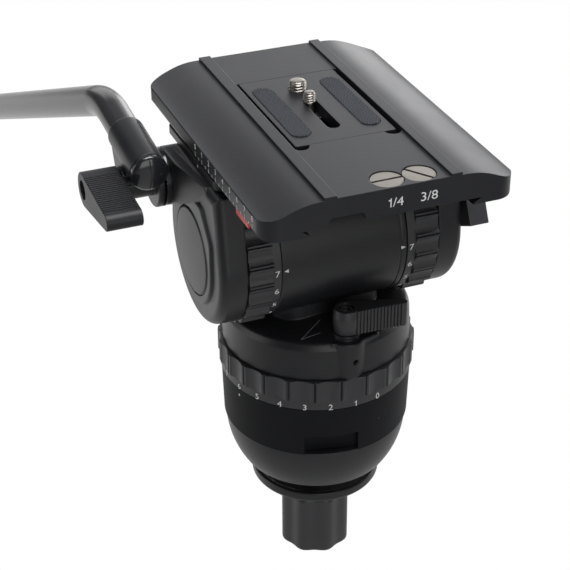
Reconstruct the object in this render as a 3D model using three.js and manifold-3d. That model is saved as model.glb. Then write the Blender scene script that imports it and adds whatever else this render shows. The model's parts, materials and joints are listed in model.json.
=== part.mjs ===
// Fluid video head: sliding camera plate, tilt cylinder with drag rings, bent pan handle, 100 mm bowl base.
// Millimetres. X to the right, Y to the rear, Z up. Origin on the pan axis, in the plane of the bowl's rim.
import * as THREE from "three";
import { mergeVertices } from "three/addons/utils/BufferGeometryUtils.js";
import Module from "manifold-3d";

const wasm = await Module();
wasm.setup();

// Clearances that every piece shares
const gap = 0.3;
const overrun = 1;

// Sides round a turned piece, by its size, and segments along half an arc of an outline
const bigSideCount = 32;
const midSideCount = 20;
const smallSideCount = 12;
const tinySideCount = 8;
const socketSideCount = 6;
const longArcSteps = 9;
const arcSteps = 4;
const cornerSteps = 2;

// Bowl base and its drum
const bowlRadius = 50;
const ballDepth = 28;
const ballStepCount = 3;
const ballPlate = 9;
const ballWall = 6;
const ballHub = 14;
const drumBottomRadius = 50.9;
const drumTaper = 0.9;
const drumHeight = 30.1;
const drumChamfer = 0.7;
const drumFloor = 8;
const drumCavity = 38;
const neckWall = 6;
const notchWidth = 29;
const notchHeight = 12.4;
const notchDepth = 6;
const notchTurnDeg = -12.5;
const baseScrewCount = 3;
const baseScrewInset = 18;
const baseScrewShank = 2.5;
const baseScrewHead = 4.5;
const baseScrewHeadHeight = 4.5;
const baseScrewGrip = 6;

// Tie-down rod, cup and knob under the bowl
const rodRadius = 6;
const rodLength = 78;
const cupInset = 14;
const cupDrop = 10;
const cupHeight = 12;
const cupDish = 3;
const tieKnobRadius = 20;
const tieKnobNeck = 13;
const tieKnobNeckHeight = 6.5;
const tieKnobRoom = 10.3;
const tieKnobLobeCount = 8;
const tieKnobLobeSteps = 4;
const tieKnobLobeDepth = 1.6;
const tieKnobFloor = 6;

// Pan axle, bearings and drag cartridge
const axleRadius = 8;
const axleShoulder = 10;
const axleFlange = 16;
const axleFlangeHeight = 5;
const axleRise = 6;
const hubBearingRise = 1.6;
const hubBearingHeight = 8;
const hubBearingRadius = 14.5;
const hubWall = 4.2;
const thrustWidth = 5;
const thrustInset = 0.5;
const thrustHeight = 3.6;
const damperWall = 2.5;
const damperCupHeight = 34;
const rotorWall = 4.6;
const rotorRoom = 0.5;
const rotorFlange = 5;

// Drag rings: a number band, then a grip of wide flutes between pairs of ridges
const ringFluteCount = 24;
const flutePlace_shares = [-0.12, 0.12, 0.32, 0.68];
const fluteDepth_shares = [0, 0, 1, 1];
const panBandProud = 0.4;
const panBandHeight = 5.2;
const panGripProud = 1.3;
const panGripHeight = 12.5;
const panFluteDepth = 1.1;
const panRingTurnDeg = 8.3;
const tiltBandProud = 0.2;
const tiltBandHeight = 4.4;
const tiltGripProud = 1.7;
const tiltGripHeight = 12.8;
const tiltFluteDepth = 1.4;
const tiltRingTurnDeg = 7.5;

// Pan housing
const skirtInset = 0.8;
const skirtTaper = 0.8;
const cavityDepth = 13.6;
const ceilingWall = 7;
const shoulderDrop = 3.4;
const shoulderInset = 1.2;
const domeInset = 4.5;
const domeEdgeRise = 0.6;
const domeRadius = 27;
const domeRise = 4;
const cavityRadius = 36.5;
const neckInset = 4.2;
const neckFront = 33;
const neckRear = 27;
const neckCorner = 14;
const bossX = -0.8;
const bossY = -42.3;
const bossRadius = 10.5;
const bossLeftReach = 10.5;
const bossRightReach = 16.5;
const bossFootInset = 1.5;
const bossArcFrom = 1.2 * Math.PI;
const bossArcTo = 1.75 * Math.PI;
const setScrewRadius = 1.5;
const setScrewX = 0.4;
const setScrewY = -52.7;
const setScrewRise = 9.9;
const setScrewDepth = 3;
const setScrewSunk = 0.6;

// Level behind the housing's neck
const levelX = 12;
const levelY = 37.5;
const levelRadius = 7.5;
const levelFloor = 3.5;
const levelHeight = 6.4;
const levelWall = 1.6;
const vialHeight = 4.4;

// Tilt housing, cartridges, axle
const tiltRoom = 3.2;
const tiltCentre = -0.8;
const housingRadius = 40.5;
const housingWall = 4;
const housingHalf = 34.2;
const cartridgeStep = 6.8;
const cartridgeInner = 4;
const tiltAxleRadius = 9;
const axleSeatDepth = 7.8;
const bushingWall = 2.7;
const bushingLength = 8;
const springWall = 3.2;
const springInner = 12;
const springLength = 26;

// Ears
const ringSideRoom = 0.5;
const earThickness = 14.2;
const earProud = 0.1;
const earTopHalf = 34;
const deckRoom = 1.2;
const earRound = 5;
const earRoundSteps = 3;
const shieldRadius = 28.5;
const shieldRise = 1.5;
const shieldHeadDrop = 12.6;
const shieldHeadHalf = 15;
const discRadius = 23.6;
const discDrop = 1;
const discSunk = 1.7;
const discEdge = 2.2;
const discDome = 0.9;
const boltHead = 8;
const boltHeadHeight = 4;
const boltShank = 4;
const boltLength = 16;

// Platform with its dovetail rail
const deckInset = 2.4;
const deckRear = 50;
const deckFlangeFront = 27;
const deckNose = 66;
const deckNoseStep = 7;
const deckThickness = 4.9;
const deckCorner = 5;
const railHeight = 3.2;
const railHalf = 40.2;
const railFlare = 4.4;
const railInset = 6;
const deckScrewInset = 7.5;
const deckScrewY = 20;
const deckScrewRadius = 2.5;
const deckScrewHead = 4.5;
const deckScrewHeadHeight = 3.4;
const deckScrewLength = 12;

// Plate release button
const buttonTravel = 2.5;
const buttonProud = 3.8;
const buttonFront = 63;
const buttonLength = 17;
const buttonHeight = 5.9;
const buttonDrop = 0.7;
const buttonStem = 2.4;
const buttonDepth = 8;

// Sliding plate
const plateOverhang = 1;
const plateFront = 92;
const plateRear = 82;
const plateThickness = 17.2;
const plateCorner = 11;
const plateCornerSteps = 3;
const plateEdgeRound = 4;
const channelHalf = 28.65;
const stripWidth = 6.05;
const stripRise = 1.2;
const wingStep = 0.3;
const wingFall = 6.9;
const wingEase_share = 1.35;
const wingStepCount = 6;
const grooveDepth = 3.2;
const grooveRoom = 0.9;
const noseNotchX = -23.2;
const noseNotchHalf = 9.2;
const noseNotchHeight = 4.1;
const noseNotchDepth = 12;
const windowHalf = 9.5;
const reliefRadius = 3.2;

// Camera plate, pads and slot
const cameraPlateHalf = 26.6;
const cameraPlateFoot = 28.1;
const cameraPlateFront = 36.4;
const cameraPlateRear = 43;
const cameraPlateThickness = 6;
const cameraPlateCorner = 3;
const cameraPlateBevel = 1.5;
const pocketX = 0.35;
const padRadius = 5.2;
const padLength = 61;
const padX = 18.6;
const padY = 3;
const padSunk = 1;
const padProud = 0.6;
const slotRadius = 3.5;
const slotFront = 20.5;

// Camera screws and their spares
const quarterRadius = 3.175;
const quarterY = 10.4;
const quarterStand = 5.3;
const quarterHead = 7.5;
const threeEighthsRadius = 4.7625;
const threeEighthsY = 26.5;
const threeEighthsStand = 5;
const threeEighthsHead = 8;
const cameraScrewHeadHeight = 3.2;
const cameraScrewChamfer = 0.9;
const coinSlotWidth = 1.6;
const coinSlotDepth = 1.2;
const washerHalf = 7.6;
const washerThickness = 1.8;
const spareHead = 8;
const spareHeadHeight = 2.4;
const spareRecess = 2.7;
const spareY = -83;
const spareQuarterX = 0.2;
const spareThreeEighthsX = 16.5;
const spareQuarterTurnDeg = -1;
const spareThreeEighthsTurnDeg = 55;
const spareLength = 9;

// Levers: a round hub with a tapered arm, ribbed where the thumb pushes
const ribDepth = 0.7;
const ribFill_share = 0.5;
const ribStart_share = 0.1;
const ribEnd_share = 0.98;
const panLeverHub = 7;
const panLeverReach = 31.9;
const panLeverTip = 2.4;
const panLeverLean = 5.2;
const panLeverStand = 3.2;
const panLeverHeight = 13.8;
const panLeverRibCount = 14;
const leverScrewRadius = 3;
const leverScrewHead = 4;
const leverScrewSunk = 1.5;
const leverScrewHeadHeight = 3;
const panScrewDepth = 12;
const tiltLeverX = 8;
const tiltLeverDrop = 20.7;
const tiltLeverHub = 6.5;
const tiltLeverReach = 29;
const tiltLeverTip = 2.4;
const tiltLeverLean = 3.6;
const tiltLeverHeight = 8.4;
const tiltLeverRibCount = 12;
const tiltBossProud = 0.9;
const tiltScrewDepth = 6;
const plateLeverY = -21;
const plateLeverDrop = 7.8;
const plateLeverHub = 7.5;
const plateLeverReach = 36;
const plateLeverTip = 6.4;
const plateLeverLean = 0.6;
const plateLeverTurnDeg = 243;
const plateLeverRoom = 1.8;
const plateLeverWidth = 10.8;
const plateLeverPin = 3.5;
const plateLeverPinDepth = 6.6;

// Handle rosette, clamp and knob, measured from the rosette's axis
const rosetteY = 34;
const rosetteDrop = 17.5;
const rosetteRadius = 15.4;
const armProud = 4.7;
const armFrontY = -16;
const armFrontDrop = 4.3;
const armFrontRadius = 4;
const armRound = 1.5;
const armRoundSteps = 2;
const rosetteThickness = 3;
const toothCount = 24;
const toothSide = 0.8;
const toothStretch = 1.75;
const rosetteBore = 5;
const rosetteBoreDepth = 5;
const clampDisc = 3.8;
const clampHub = 9;
const clampWebFront = 7;
const clampWebRear = 17;
const barStandoff = 13.4;
const sleeveFront = -19.5;
const sleeveFrontRise = 14.5;
const sleeveRiseDeg = 5.76;
const sleeveLength = 39;
const sleeveRadius = 9.8;
const splitWidth = 1.2;
const knobClearance = 1.1;
const clampKnobHub = 9.4;
const clampKnobReach = 45.5;
const clampKnobTip = 4.6;
const clampKnobLean = 1.9;
const clampKnobWidth = 18.8;
const clampKnobRibCount = 14;
const clampScrewRadius = 3.5;
const clampScrewHead = 5;
const clampScrewSunk = 2;
const clampScrewHeadHeight = 3;

// Handle bar, its grip and cap
const barRadius = 8.5;
const barWall = 1.6;
const barSideCount = 16;
const barStepCount = 3;
const barFirst = 65.5;
const barBendDeg = 29.2;
const barBendRadius = 36;
const barTurnDeg = 10.8;
const barSecond = 445;
const gripRadius = 13.5;
const gripLength = 112;
const gripOverBar = 104;
const gripRim = 1.2;
const gripEdge = 4;
const capEdge = 2;
const capDome = 3.4;
const capPlug = 12;
const capRadius_shares = [0.5, 0.85, 1];
const capDome_shares = [0.85, 0.35, 0];

// Materials
const satinBlack = () => new THREE.MeshStandardMaterial({ color: 0x2a2a2c, roughness: 0.55, metalness: 0.4 });
const anodisedBlack = () => new THREE.MeshStandardMaterial({
  color: 0x38383b, roughness: 0.42, metalness: 0.7,
});
const mouldedBlack = () => new THREE.MeshStandardMaterial({ color: 0x232325, roughness: 0.6, metalness: 0 });
const padRubber = () => new THREE.MeshStandardMaterial({ color: 0x20242a, roughness: 0.9, metalness: 0 });
const nickel = () => new THREE.MeshStandardMaterial({ color: 0xc9c4ba, roughness: 0.3, metalness: 1 });
const steel = () => new THREE.MeshStandardMaterial({ color: 0x9a9a9c, roughness: 0.35, metalness: 1 });
const bronze = () => new THREE.MeshStandardMaterial({ color: 0xa07a45, roughness: 0.45, metalness: 1 });
const redPlastic = () => new THREE.MeshStandardMaterial({ color: 0xe83a2c, roughness: 0.45, metalness: 0 });
const levelGlass = () => new THREE.MeshStandardMaterial({ color: 0x9fc86a, roughness: 0.1, metalness: 0 });

// Radii that follow the bowl's, the drum's and the tilt cylinder's
const baseScrewCircle = bowlRadius - ballWall - baseScrewInset;
const drumTopRadius = drumBottomRadius + drumTaper;
const neckRadius = drumCavity + neckWall;
const thrustOuter = neckRadius - thrustInset;
const thrustInner = thrustOuter - thrustWidth;
const panBandRadius = drumTopRadius + panBandProud;
const panGripRadius = panBandRadius + panGripProud;
const skirtRadius = drumTopRadius - skirtInset;
const skirtTopRadius = skirtRadius - skirtTaper;
const domeEdgeRadius = skirtRadius - domeInset;
const bossFootRadius = skirtRadius - bossFootInset;
const housingBore = housingRadius - housingWall;
const cartridgeHub = housingBore - cartridgeStep;
const springRadius = cartridgeHub - springWall;
const tiltBandRadius = housingRadius + tiltBandProud;
const tiltGripRadius = tiltBandRadius + tiltGripProud;
const earRadius = housingRadius + earProud;
const tiltBossReach = housingRadius + tiltBossProud;

// Widths that follow the tilt cylinder's and the plate channel's
const neckHalfWidth = housingHalf - neckInset;
const earInner = housingHalf + gap + tiltBandHeight + tiltGripHeight + ringSideRoom;
const cartridgeEnd = earInner - gap;
const tiltAxleHalf = earInner + axleSeatDepth;
const earOuter = earInner + earThickness;
const deckHalf = earOuter - deckInset;
const deckNoseHalf = deckHalf - deckNoseStep;
const deckScrewX = deckHalf - deckScrewInset;
const plateHalf = deckHalf + plateOverhang;
const plateLeverInner = earOuter + tiltCentre + plateLeverRoom;
const armReach = earOuter + armProud;
const barOut = armReach + barStandoff;
const stripHalf = channelHalf + stripWidth;
const grooveHalf = railHalf + grooveRoom;
const railFront = deckNose - railInset;

// Levels that several pieces share
const ringBottom = drumHeight + gap;
const ringTop = ringBottom + panBandHeight + panGripHeight;
const neckTop = ringTop - 2 * gap;
const skirtBottom = ringTop + gap;
const hubBearingBottom = skirtBottom + hubBearingRise;
const setScrewZ = skirtBottom + setScrewRise;
const ceilingHeight = skirtBottom + cavityDepth;
const axleTop = ceilingHeight + axleRise;
const levelSeat = ceilingHeight + levelFloor;
const skirtTop = ceilingHeight + ceilingWall;
const panLeverBottom = skirtTop + panLeverStand;
const domeEdge = skirtTop + domeEdgeRise;
const domeTop = domeEdge + domeRise;
const tiltAxis = skirtTop + tiltRoom + housingRadius;
const cupRadius = bowlRadius - cupInset;
const cupTop = -ballDepth - cupDrop;
const cupBottom = cupTop - cupHeight;
const discFloor = earOuter + shieldRise - discSunk;
const boltEnd = discFloor - gap - boltHeadHeight - boltLength;
const earTop = tiltGripRadius + deckRoom;
const shieldHead = earTop - shieldHeadDrop;
const rosetteRise = earTop - rosetteDrop;
const armFrontRise = earTop - armFrontDrop;
const deckBottom = tiltAxis + earTop;
const plateLeverZ = deckBottom - plateLeverDrop;
const deckTop = deckBottom + deckThickness;
const buttonTop = deckTop - buttonDrop;
const buttonBottom = buttonTop - buttonHeight;
const plateUnder = deckTop + gap;
const plateTop = plateUnder + plateThickness;
const grooveCeiling = plateUnder + grooveDepth;
const cameraPlateBottom = plateTop - cameraPlateThickness;
const clampFace = armReach + rosetteThickness + gap;
const clampEnd = barOut + sleeveRadius + gap;
const knobInner = barOut + sleeveRadius + knobClearance;
const radians = THREE.MathUtils.degToRad;
const fullTurn = 2 * Math.PI;

// A solid from a closed geometry, its faces turned outward
function solid(geometry) {
  geometry.deleteAttribute("normal");
  geometry.deleteAttribute("uv");
  const merged = mergeVertices(geometry);
  const points = merged.attributes.position.array;
  const index = merged.index.array;
  const kept = [];
  let volume = 0;
  for (let i = 0; i < index.length; i += 3) {
    const [a, b, c] = index.slice(i, i + 3);
    if (a !== b && b !== c && c !== a) {
      kept.push(a, b, c);
      const [p, q, r] = [a, b, c].map((k) => new THREE.Vector3().fromArray(points, 3 * k));
      volume += p.dot(q.cross(r));
    }
  }
  if (volume < 0) {
    kept.reverse();
  }
  const vertProperties = new Float32Array(points);
  const triVerts = new Uint32Array(kept);
  return new wasm.Manifold(new wasm.Mesh({ numProp: 3, vertProperties, triVerts }));
}

function join(first, ...others) {
  return others.reduce((body, other) => body.add(other), first);
}

function cut(first, ...others) {
  return others.reduce((body, other) => body.subtract(other), first);
}

// A named mesh from a solid
function piece(name, body, material) {
  const made = body.getMesh();
  const geometry = new THREE.BufferGeometry();
  geometry.setAttribute("position", new THREE.BufferAttribute(made.vertProperties, 3));
  geometry.setIndex(new THREE.BufferAttribute(made.triVerts, 1));
  geometry.computeVertexNormals();
  const mesh = new THREE.Mesh(geometry, material);
  mesh.name = name;
  return mesh;
}

// Turns that carry a geometry made along Z to X or Y: its own X and Y become the next two axes round
const turnToX = new THREE.Matrix4().makeBasis(
  new THREE.Vector3(0, 1, 0), new THREE.Vector3(0, 0, 1), new THREE.Vector3(1, 0, 0));
const turnToY = new THREE.Matrix4().makeBasis(
  new THREE.Vector3(0, 0, 1), new THREE.Vector3(1, 0, 0), new THREE.Vector3(0, 1, 0));

function aim(geometry, axis) {
  if (axis === "x") {
    geometry.applyMatrix4(turnToX);
  }
  if (axis === "y") {
    geometry.applyMatrix4(turnToY);
  }
  return geometry;
}

// A turned geometry from [radius, height] points that start and end on the axis, or that close
function turnedGeometry(profile, sides, axis = "z") {
  const closed = profile[0][0] === 0 ? profile : [...profile, profile[0]];
  const points = closed.map(([radius, height]) => new THREE.Vector2(radius, height));
  return aim(new THREE.LatheGeometry(points, sides).rotateX(Math.PI / 2), axis);
}

function turned(profile, sides, axis = "z", at = [0, 0, 0]) {
  return solid(turnedGeometry(profile, sides, axis).translate(...at));
}

function rodProfile(radius, from, to) {
  return [[0, from], [radius, from], [radius, to], [0, to]];
}

function rod(radius, from, to, sides, axis = "z", at = [0, 0, 0]) {
  return turned(rodProfile(radius, from, to), sides, axis, at);
}

function tube(inner, outer, from, to, sides) {
  return turned([[inner, from], [outer, from], [outer, to], [inner, to]], sides);
}

function block([x0, y0, z0], [x1, y1, z1]) {
  const geometry = new THREE.BoxGeometry(x1 - x0, y1 - y0, z1 - z0);
  return solid(geometry.translate((x0 + x1) / 2, (y0 + y1) / 2, (z0 + z1) / 2));
}

// An outline given depth between two places along its own Z
function slab(shape, from, to, curveSegments) {
  const geometry = new THREE.ExtrudeGeometry(shape, { depth: to - from, bevelEnabled: false, curveSegments });
  return geometry.translate(0, 0, from);
}

// The same along X with both outer edges rounded; the outline is in Y and Z
function roundedSlab(shape, from, to, round, steps) {
  const geometry = new THREE.ExtrudeGeometry(shape, {
    depth: to - from - 2 * round,
    bevelThickness: round,
    bevelSize: round,
    bevelOffset: -round,
    bevelSegments: steps,
    curveSegments: longArcSteps,
  });
  return solid(aim(geometry.translate(0, 0, from + round), "x"));
}

// An outline in X and Z carried along Y
function lengthwise(shape, from, to, curveSegments = 1) {
  return solid(slab(shape, -to, -from, curveSegments).rotateX(Math.PI / 2));
}

function outline(points) {
  return new THREE.Shape(points.map(([u, v]) => new THREE.Vector2(u, v)));
}

function roundedRectangle(x0, y0, x1, y1, corner) {
  const shape = new THREE.Shape();
  shape.absarc(x1 - corner, y0 + corner, corner, -Math.PI / 2, 0, false);
  shape.absarc(x1 - corner, y1 - corner, corner, 0, Math.PI / 2, false);
  shape.absarc(x0 + corner, y1 - corner, corner, Math.PI / 2, Math.PI, false);
  shape.absarc(x0 + corner, y0 + corner, corner, Math.PI, 3 * Math.PI / 2, false);
  return shape;
}

// A slot along Y with round ends
function slotShape(x, y0, y1, radius) {
  const shape = new THREE.Shape();
  shape.absarc(x, y1, radius, 0, Math.PI, false);
  shape.absarc(x, y0, radius, Math.PI, fullTurn, false);
  return shape;
}

// The outline of a belt round two circles, the larger one first
function beltShape(ax, ay, aRadius, bx, by, bRadius) {
  const along = Math.atan2(by - ay, bx - ax);
  const spread = Math.acos((aRadius - bRadius) / Math.hypot(bx - ax, by - ay));
  const shape = new THREE.Shape();
  shape.absarc(ax, ay, aRadius, along + spread, along - spread + fullTurn, false);
  shape.absarc(bx, by, bRadius, along - spread, along + spread, false);
  return shape;
}

// Drag ring along Z: the number band first, then the fluted grip
function dragRing(bore, bandRadius, bandHeight, outerRadius, gripHeight, fluteDepth) {
  const points = [];
  for (let flute = 0; flute < ringFluteCount; flute += 1) {
    flutePlace_shares.forEach((share, i) => {
      const angle = fullTurn * (flute + share) / ringFluteCount;
      const radius = outerRadius - fluteDepth * fluteDepth_shares[i];
      points.push([radius * Math.cos(angle), radius * Math.sin(angle)]);
    });
  }
  const top = bandHeight + gripHeight;
  const grip = solid(slab(outline(points), bandHeight, top, 1));
  const band = rod(bandRadius, 0, (bandHeight + top) / 2, bigSideCount);
  return cut(join(grip, band), rod(bore, -overrun, top + overrun, bigSideCount));
}

// Lever along Z: hub on the axis, arm along +X, grooves on the face towards -Y
function lever(hub, reach, tip, lean, height, ribCount) {
  const body = solid(slab(beltShape(0, 0, hub, reach - tip, -lean, tip), 0, height, arcSteps));
  const distance = Math.hypot(reach - tip, lean);
  const slope = Math.atan2(-lean, reach - tip) + Math.asin((hub - tip) / distance);
  const face = Math.sqrt(distance ** 2 - (hub - tip) ** 2);
  const pitch = face * (ribEnd_share - ribStart_share) / ribCount;
  const grooves = [];
  for (let rib = 0; rib < ribCount; rib += 1) {
    const geometry = new THREE.BoxGeometry(pitch * ribFill_share, 2 * ribDepth, height + 2 * overrun);
    geometry.translate(face * ribStart_share + rib * pitch, -hub, height / 2);
    grooves.push(solid(geometry.rotateZ(slope)));
  }
  return cut(body, ...grooves);
}

// Screw along +Z, its head first; its driver recess is left to the caller
function screwBody(shank, head, headHeight, length, sides) {
  const end = headHeight + length;
  return turned([
    [0, 0], [head, 0], [head, headHeight], [shank, headHeight], [shank, end], [0, end],
  ], sides);
}

function coinSlot(head, bottom) {
  return block([-head - overrun, -coinSlotWidth / 2, bottom - overrun],
    [head + overrun, coinSlotWidth / 2, bottom + coinSlotDepth]);
}

function socketScrew(name, shank, head, headHeight, length) {
  const body = screwBody(shank, head, headHeight, length, tinySideCount);
  return piece(name, cut(body, rod(shank, -overrun, headHeight / 2, socketSideCount)), steel());
}

// Places spread evenly round a circle about the pan axis
function circlePlaces(count, radius) {
  return Array.from({ length: count }, (_, i) => {
    const angle = fullTurn * (i + 1 / 2) / count;
    return [radius * Math.cos(angle), radius * Math.sin(angle)];
  });
}

// A frame whose Z points away from the middle, to the left or the right
function outward(side, ...meshes) {
  const holder = new THREE.Group();
  holder.rotation.y = side === "right" ? Math.PI / 2 : -Math.PI / 2;
  holder.add(...meshes);
  return holder;
}

// A frame whose X, Y and Z are the part's Y, Z and X
function sideways(...meshes) {
  const holder = new THREE.Group();
  holder.quaternion.setFromRotationMatrix(turnToX);
  holder.add(...meshes);
  return holder;
}

function holesAt(places, radius, from, to, sides) {
  return places.map(([x, y]) => rod(radius, from, to, sides, "z", [x, y, 0]));
}

// Half ball that sits in the bowl, hollow below
function halfBall() {
  const reach = Math.asin(ballDepth / bowlRadius);
  const curve = [];
  for (let step = 0; step <= ballStepCount; step += 1) {
    const angle = reach * step / ballStepCount;
    curve.push([bowlRadius * Math.cos(angle), -bowlRadius * Math.sin(angle)]);
  }
  const inner = bowlRadius * Math.cos(reach) - ballWall;
  const bore = rodRadius + gap;
  const body = turned([
    [bore, 0], ...curve, [inner, -ballDepth], [inner, -ballPlate], [ballHub, -ballPlate],
    [ballHub, -ballDepth], [bore, -ballDepth],
  ], bigSideCount);
  const places = circlePlaces(baseScrewCount, baseScrewCircle);
  const holes = holesAt(places, baseScrewShank + gap, -ballPlate - overrun, overrun, tinySideCount);
  return piece("half_ball", cut(body, ...holes), satinBlack());
}

// Fixed drum above the bowl, with the neck that carries the pan drag ring
function baseDrum() {
  const bore = axleRadius + gap;
  const body = turned([
    [bore, 0], [drumBottomRadius, 0], [drumTopRadius, drumHeight - drumChamfer],
    [drumTopRadius - drumChamfer, drumHeight], [neckRadius, drumHeight], [neckRadius, neckTop],
    [drumCavity, neckTop], [drumCavity, drumFloor], [bore, drumFloor],
  ], bigSideCount);
  const places = circlePlaces(baseScrewCount, baseScrewCircle);
  const holes = holesAt(places, baseScrewShank + gap, -overrun, baseScrewGrip + gap, tinySideCount);
  const notch = new THREE.BoxGeometry(notchWidth, 2 * notchDepth, notchHeight + overrun);
  notch.translate(0, -drumBottomRadius, (notchHeight - overrun) / 2);
  notch.rotateZ(radians(notchTurnDeg));
  return piece("base_drum", cut(body, ...holes, solid(notch)), satinBlack());
}

function baseScrews() {
  return circlePlaces(baseScrewCount, baseScrewCircle).map(([x, y], i) => {
    const mesh = socketScrew(`base_screw_${i + 1}`, baseScrewShank, baseScrewHead, baseScrewHeadHeight,
      ballPlate + baseScrewGrip);
    mesh.position.set(x, y, -ballPlate - baseScrewHeadHeight);
    return mesh;
  });
}

function tieRod() {
  return piece("tie_rod", rod(rodRadius, -rodLength, 0, midSideCount), steel());
}

// Dished washer that draws the head down into the bowl
function tieDownCup() {
  const bore = rodRadius + gap;
  const inner = cupRadius - cupDish;
  const body = turned([
    [bore, cupTop - cupDish], [inner, cupTop - cupDish], [inner, cupTop], [cupRadius, cupTop],
    [cupRadius, cupTop - cupHeight / 2], [tieKnobNeck, cupBottom], [bore, cupBottom],
  ], midSideCount);
  return piece("tie_down_cup", body, satinBlack());
}

function tieDownKnob() {
  const points = [];
  const stepCount = tieKnobLobeSteps * tieKnobLobeCount;
  for (let step = 0; step < stepCount; step += 1) {
    const angle = fullTurn * step / stepCount;
    const radius = tieKnobRadius - tieKnobLobeDepth * (1 - Math.cos(tieKnobLobeCount * angle)) / 2;
    points.push([radius * Math.cos(angle), radius * Math.sin(angle)]);
  }
  const top = cupBottom - gap;
  const floor = -rodLength - tieKnobRoom;
  const bottom = floor - tieKnobFloor;
  const grip = solid(slab(outline(points), bottom, top - tieKnobNeckHeight, 1));
  const neck = rod(tieKnobNeck, floor, top, midSideCount);
  const bore = rod(rodRadius + gap, floor, top + overrun, midSideCount);
  return piece("tie_down_knob", cut(join(grip, neck), bore), mouldedBlack());
}

function panAxle() {
  const flangeTop = drumFloor + axleFlangeHeight;
  const body = turned([
    [0, 0], [axleRadius, 0], [axleRadius, drumFloor], [axleFlange, drumFloor], [axleFlange, flangeTop],
    [axleShoulder, flangeTop], [axleShoulder, hubBearingBottom], [axleRadius, hubBearingBottom],
    [axleRadius, axleTop], [0, axleTop],
  ], midSideCount);
  return piece("pan_axle", body, steel());
}

function panThrustBearing() {
  const body = tube(thrustInner, thrustOuter, neckTop, neckTop + thrustHeight, bigSideCount);
  return piece("pan_thrust_bearing", body, steel());
}

function panHubBearing() {
  const top = hubBearingBottom + hubBearingHeight;
  const body = tube(axleRadius + gap, hubBearingRadius, hubBearingBottom, top, midSideCount);
  return piece("pan_hub_bearing", body, steel());
}

// Fixed cup of the pan drag cartridge, and the rotor that shears the grease inside it
function panDamperCup() {
  const inner = axleFlange + overrun;
  const outer = drumCavity - gap;
  const floor = drumFloor + damperWall;
  const top = drumFloor + damperCupHeight;
  const body = turned([
    [inner, drumFloor], [outer, drumFloor], [outer, top], [outer - damperWall, top],
    [outer - damperWall, floor], [inner, floor],
  ], bigSideCount);
  return piece("pan_damper_cup", body, anodisedBlack());
}

function panDamperRotor() {
  const outer = drumCavity - gap - damperWall - rotorRoom;
  const inner = hubBearingRadius + gap + hubWall + gap;
  const bottom = drumFloor + damperWall + rotorRoom;
  const flange = ceilingHeight - rotorFlange;
  const body = turned([
    [outer - rotorWall, bottom], [outer, bottom], [outer, ceilingHeight], [inner, ceilingHeight],
    [inner, flange], [outer - rotorWall, flange],
  ], bigSideCount);
  return piece("pan_damper_rotor", body, bronze());
}

function panDragRing() {
  const body = dragRing(neckRadius + gap, panBandRadius, panBandHeight, panGripRadius, panGripHeight,
    panFluteDepth);
  const mesh = piece("pan_drag_ring", body, mouldedBlack());
  mesh.position.z = ringBottom;
  mesh.rotation.z = radians(panRingTurnDeg);
  return mesh;
}

// Outline of the boss on the skirt that carries the pan lock lever
function bossShape() {
  const left = bossX - bossLeftReach;
  const right = bossX + bossRightReach;
  const shape = new THREE.Shape();
  shape.moveTo(right, bossY);
  shape.lineTo(left, bossY);
  shape.lineTo(left, -Math.sqrt(bossFootRadius ** 2 - left ** 2));
  shape.absarc(bossX, bossY, bossRadius, bossArcFrom, bossArcTo, false);
  shape.lineTo(right, -Math.sqrt(bossFootRadius ** 2 - right ** 2));
  return shape;
}

// The housing's outside: skirt, dome, neck, tilt cylinder and the two levers' bosses
function housingOutside() {
  const skirt = turned([
    [0, skirtBottom], [skirtRadius, skirtBottom], [skirtTopRadius, skirtTop - shoulderDrop],
    [skirtTopRadius - shoulderInset, skirtTop], [domeEdgeRadius, domeEdge], [domeRadius, domeTop],
    [0, domeTop],
  ], bigSideCount);
  const neckShape = roundedRectangle(tiltCentre - neckHalfWidth, -neckFront, tiltCentre + neckHalfWidth,
    neckRear, neckCorner);
  const neck = solid(slab(neckShape, skirtTop, tiltAxis - housingBore / 2, arcSteps / 2));
  const cylinder = rod(housingRadius, -housingHalf, housingHalf, bigSideCount, "x",
    [tiltCentre, 0, tiltAxis]);
  const boss = solid(slab(bossShape(), skirtBottom, skirtTop + gap, arcSteps));
  const collar = rod(panLeverHub, skirtTop, panLeverBottom - gap, smallSideCount, "z",
    [bossX, bossY, 0]);
  const tiltBoss = rod(tiltLeverHub, 0, tiltBossReach, smallSideCount, "y",
    [tiltCentre + tiltLeverX, 0, tiltAxis - tiltLeverDrop]);
  return join(skirt, neck, cylinder, boss, collar, tiltBoss);
}

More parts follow.
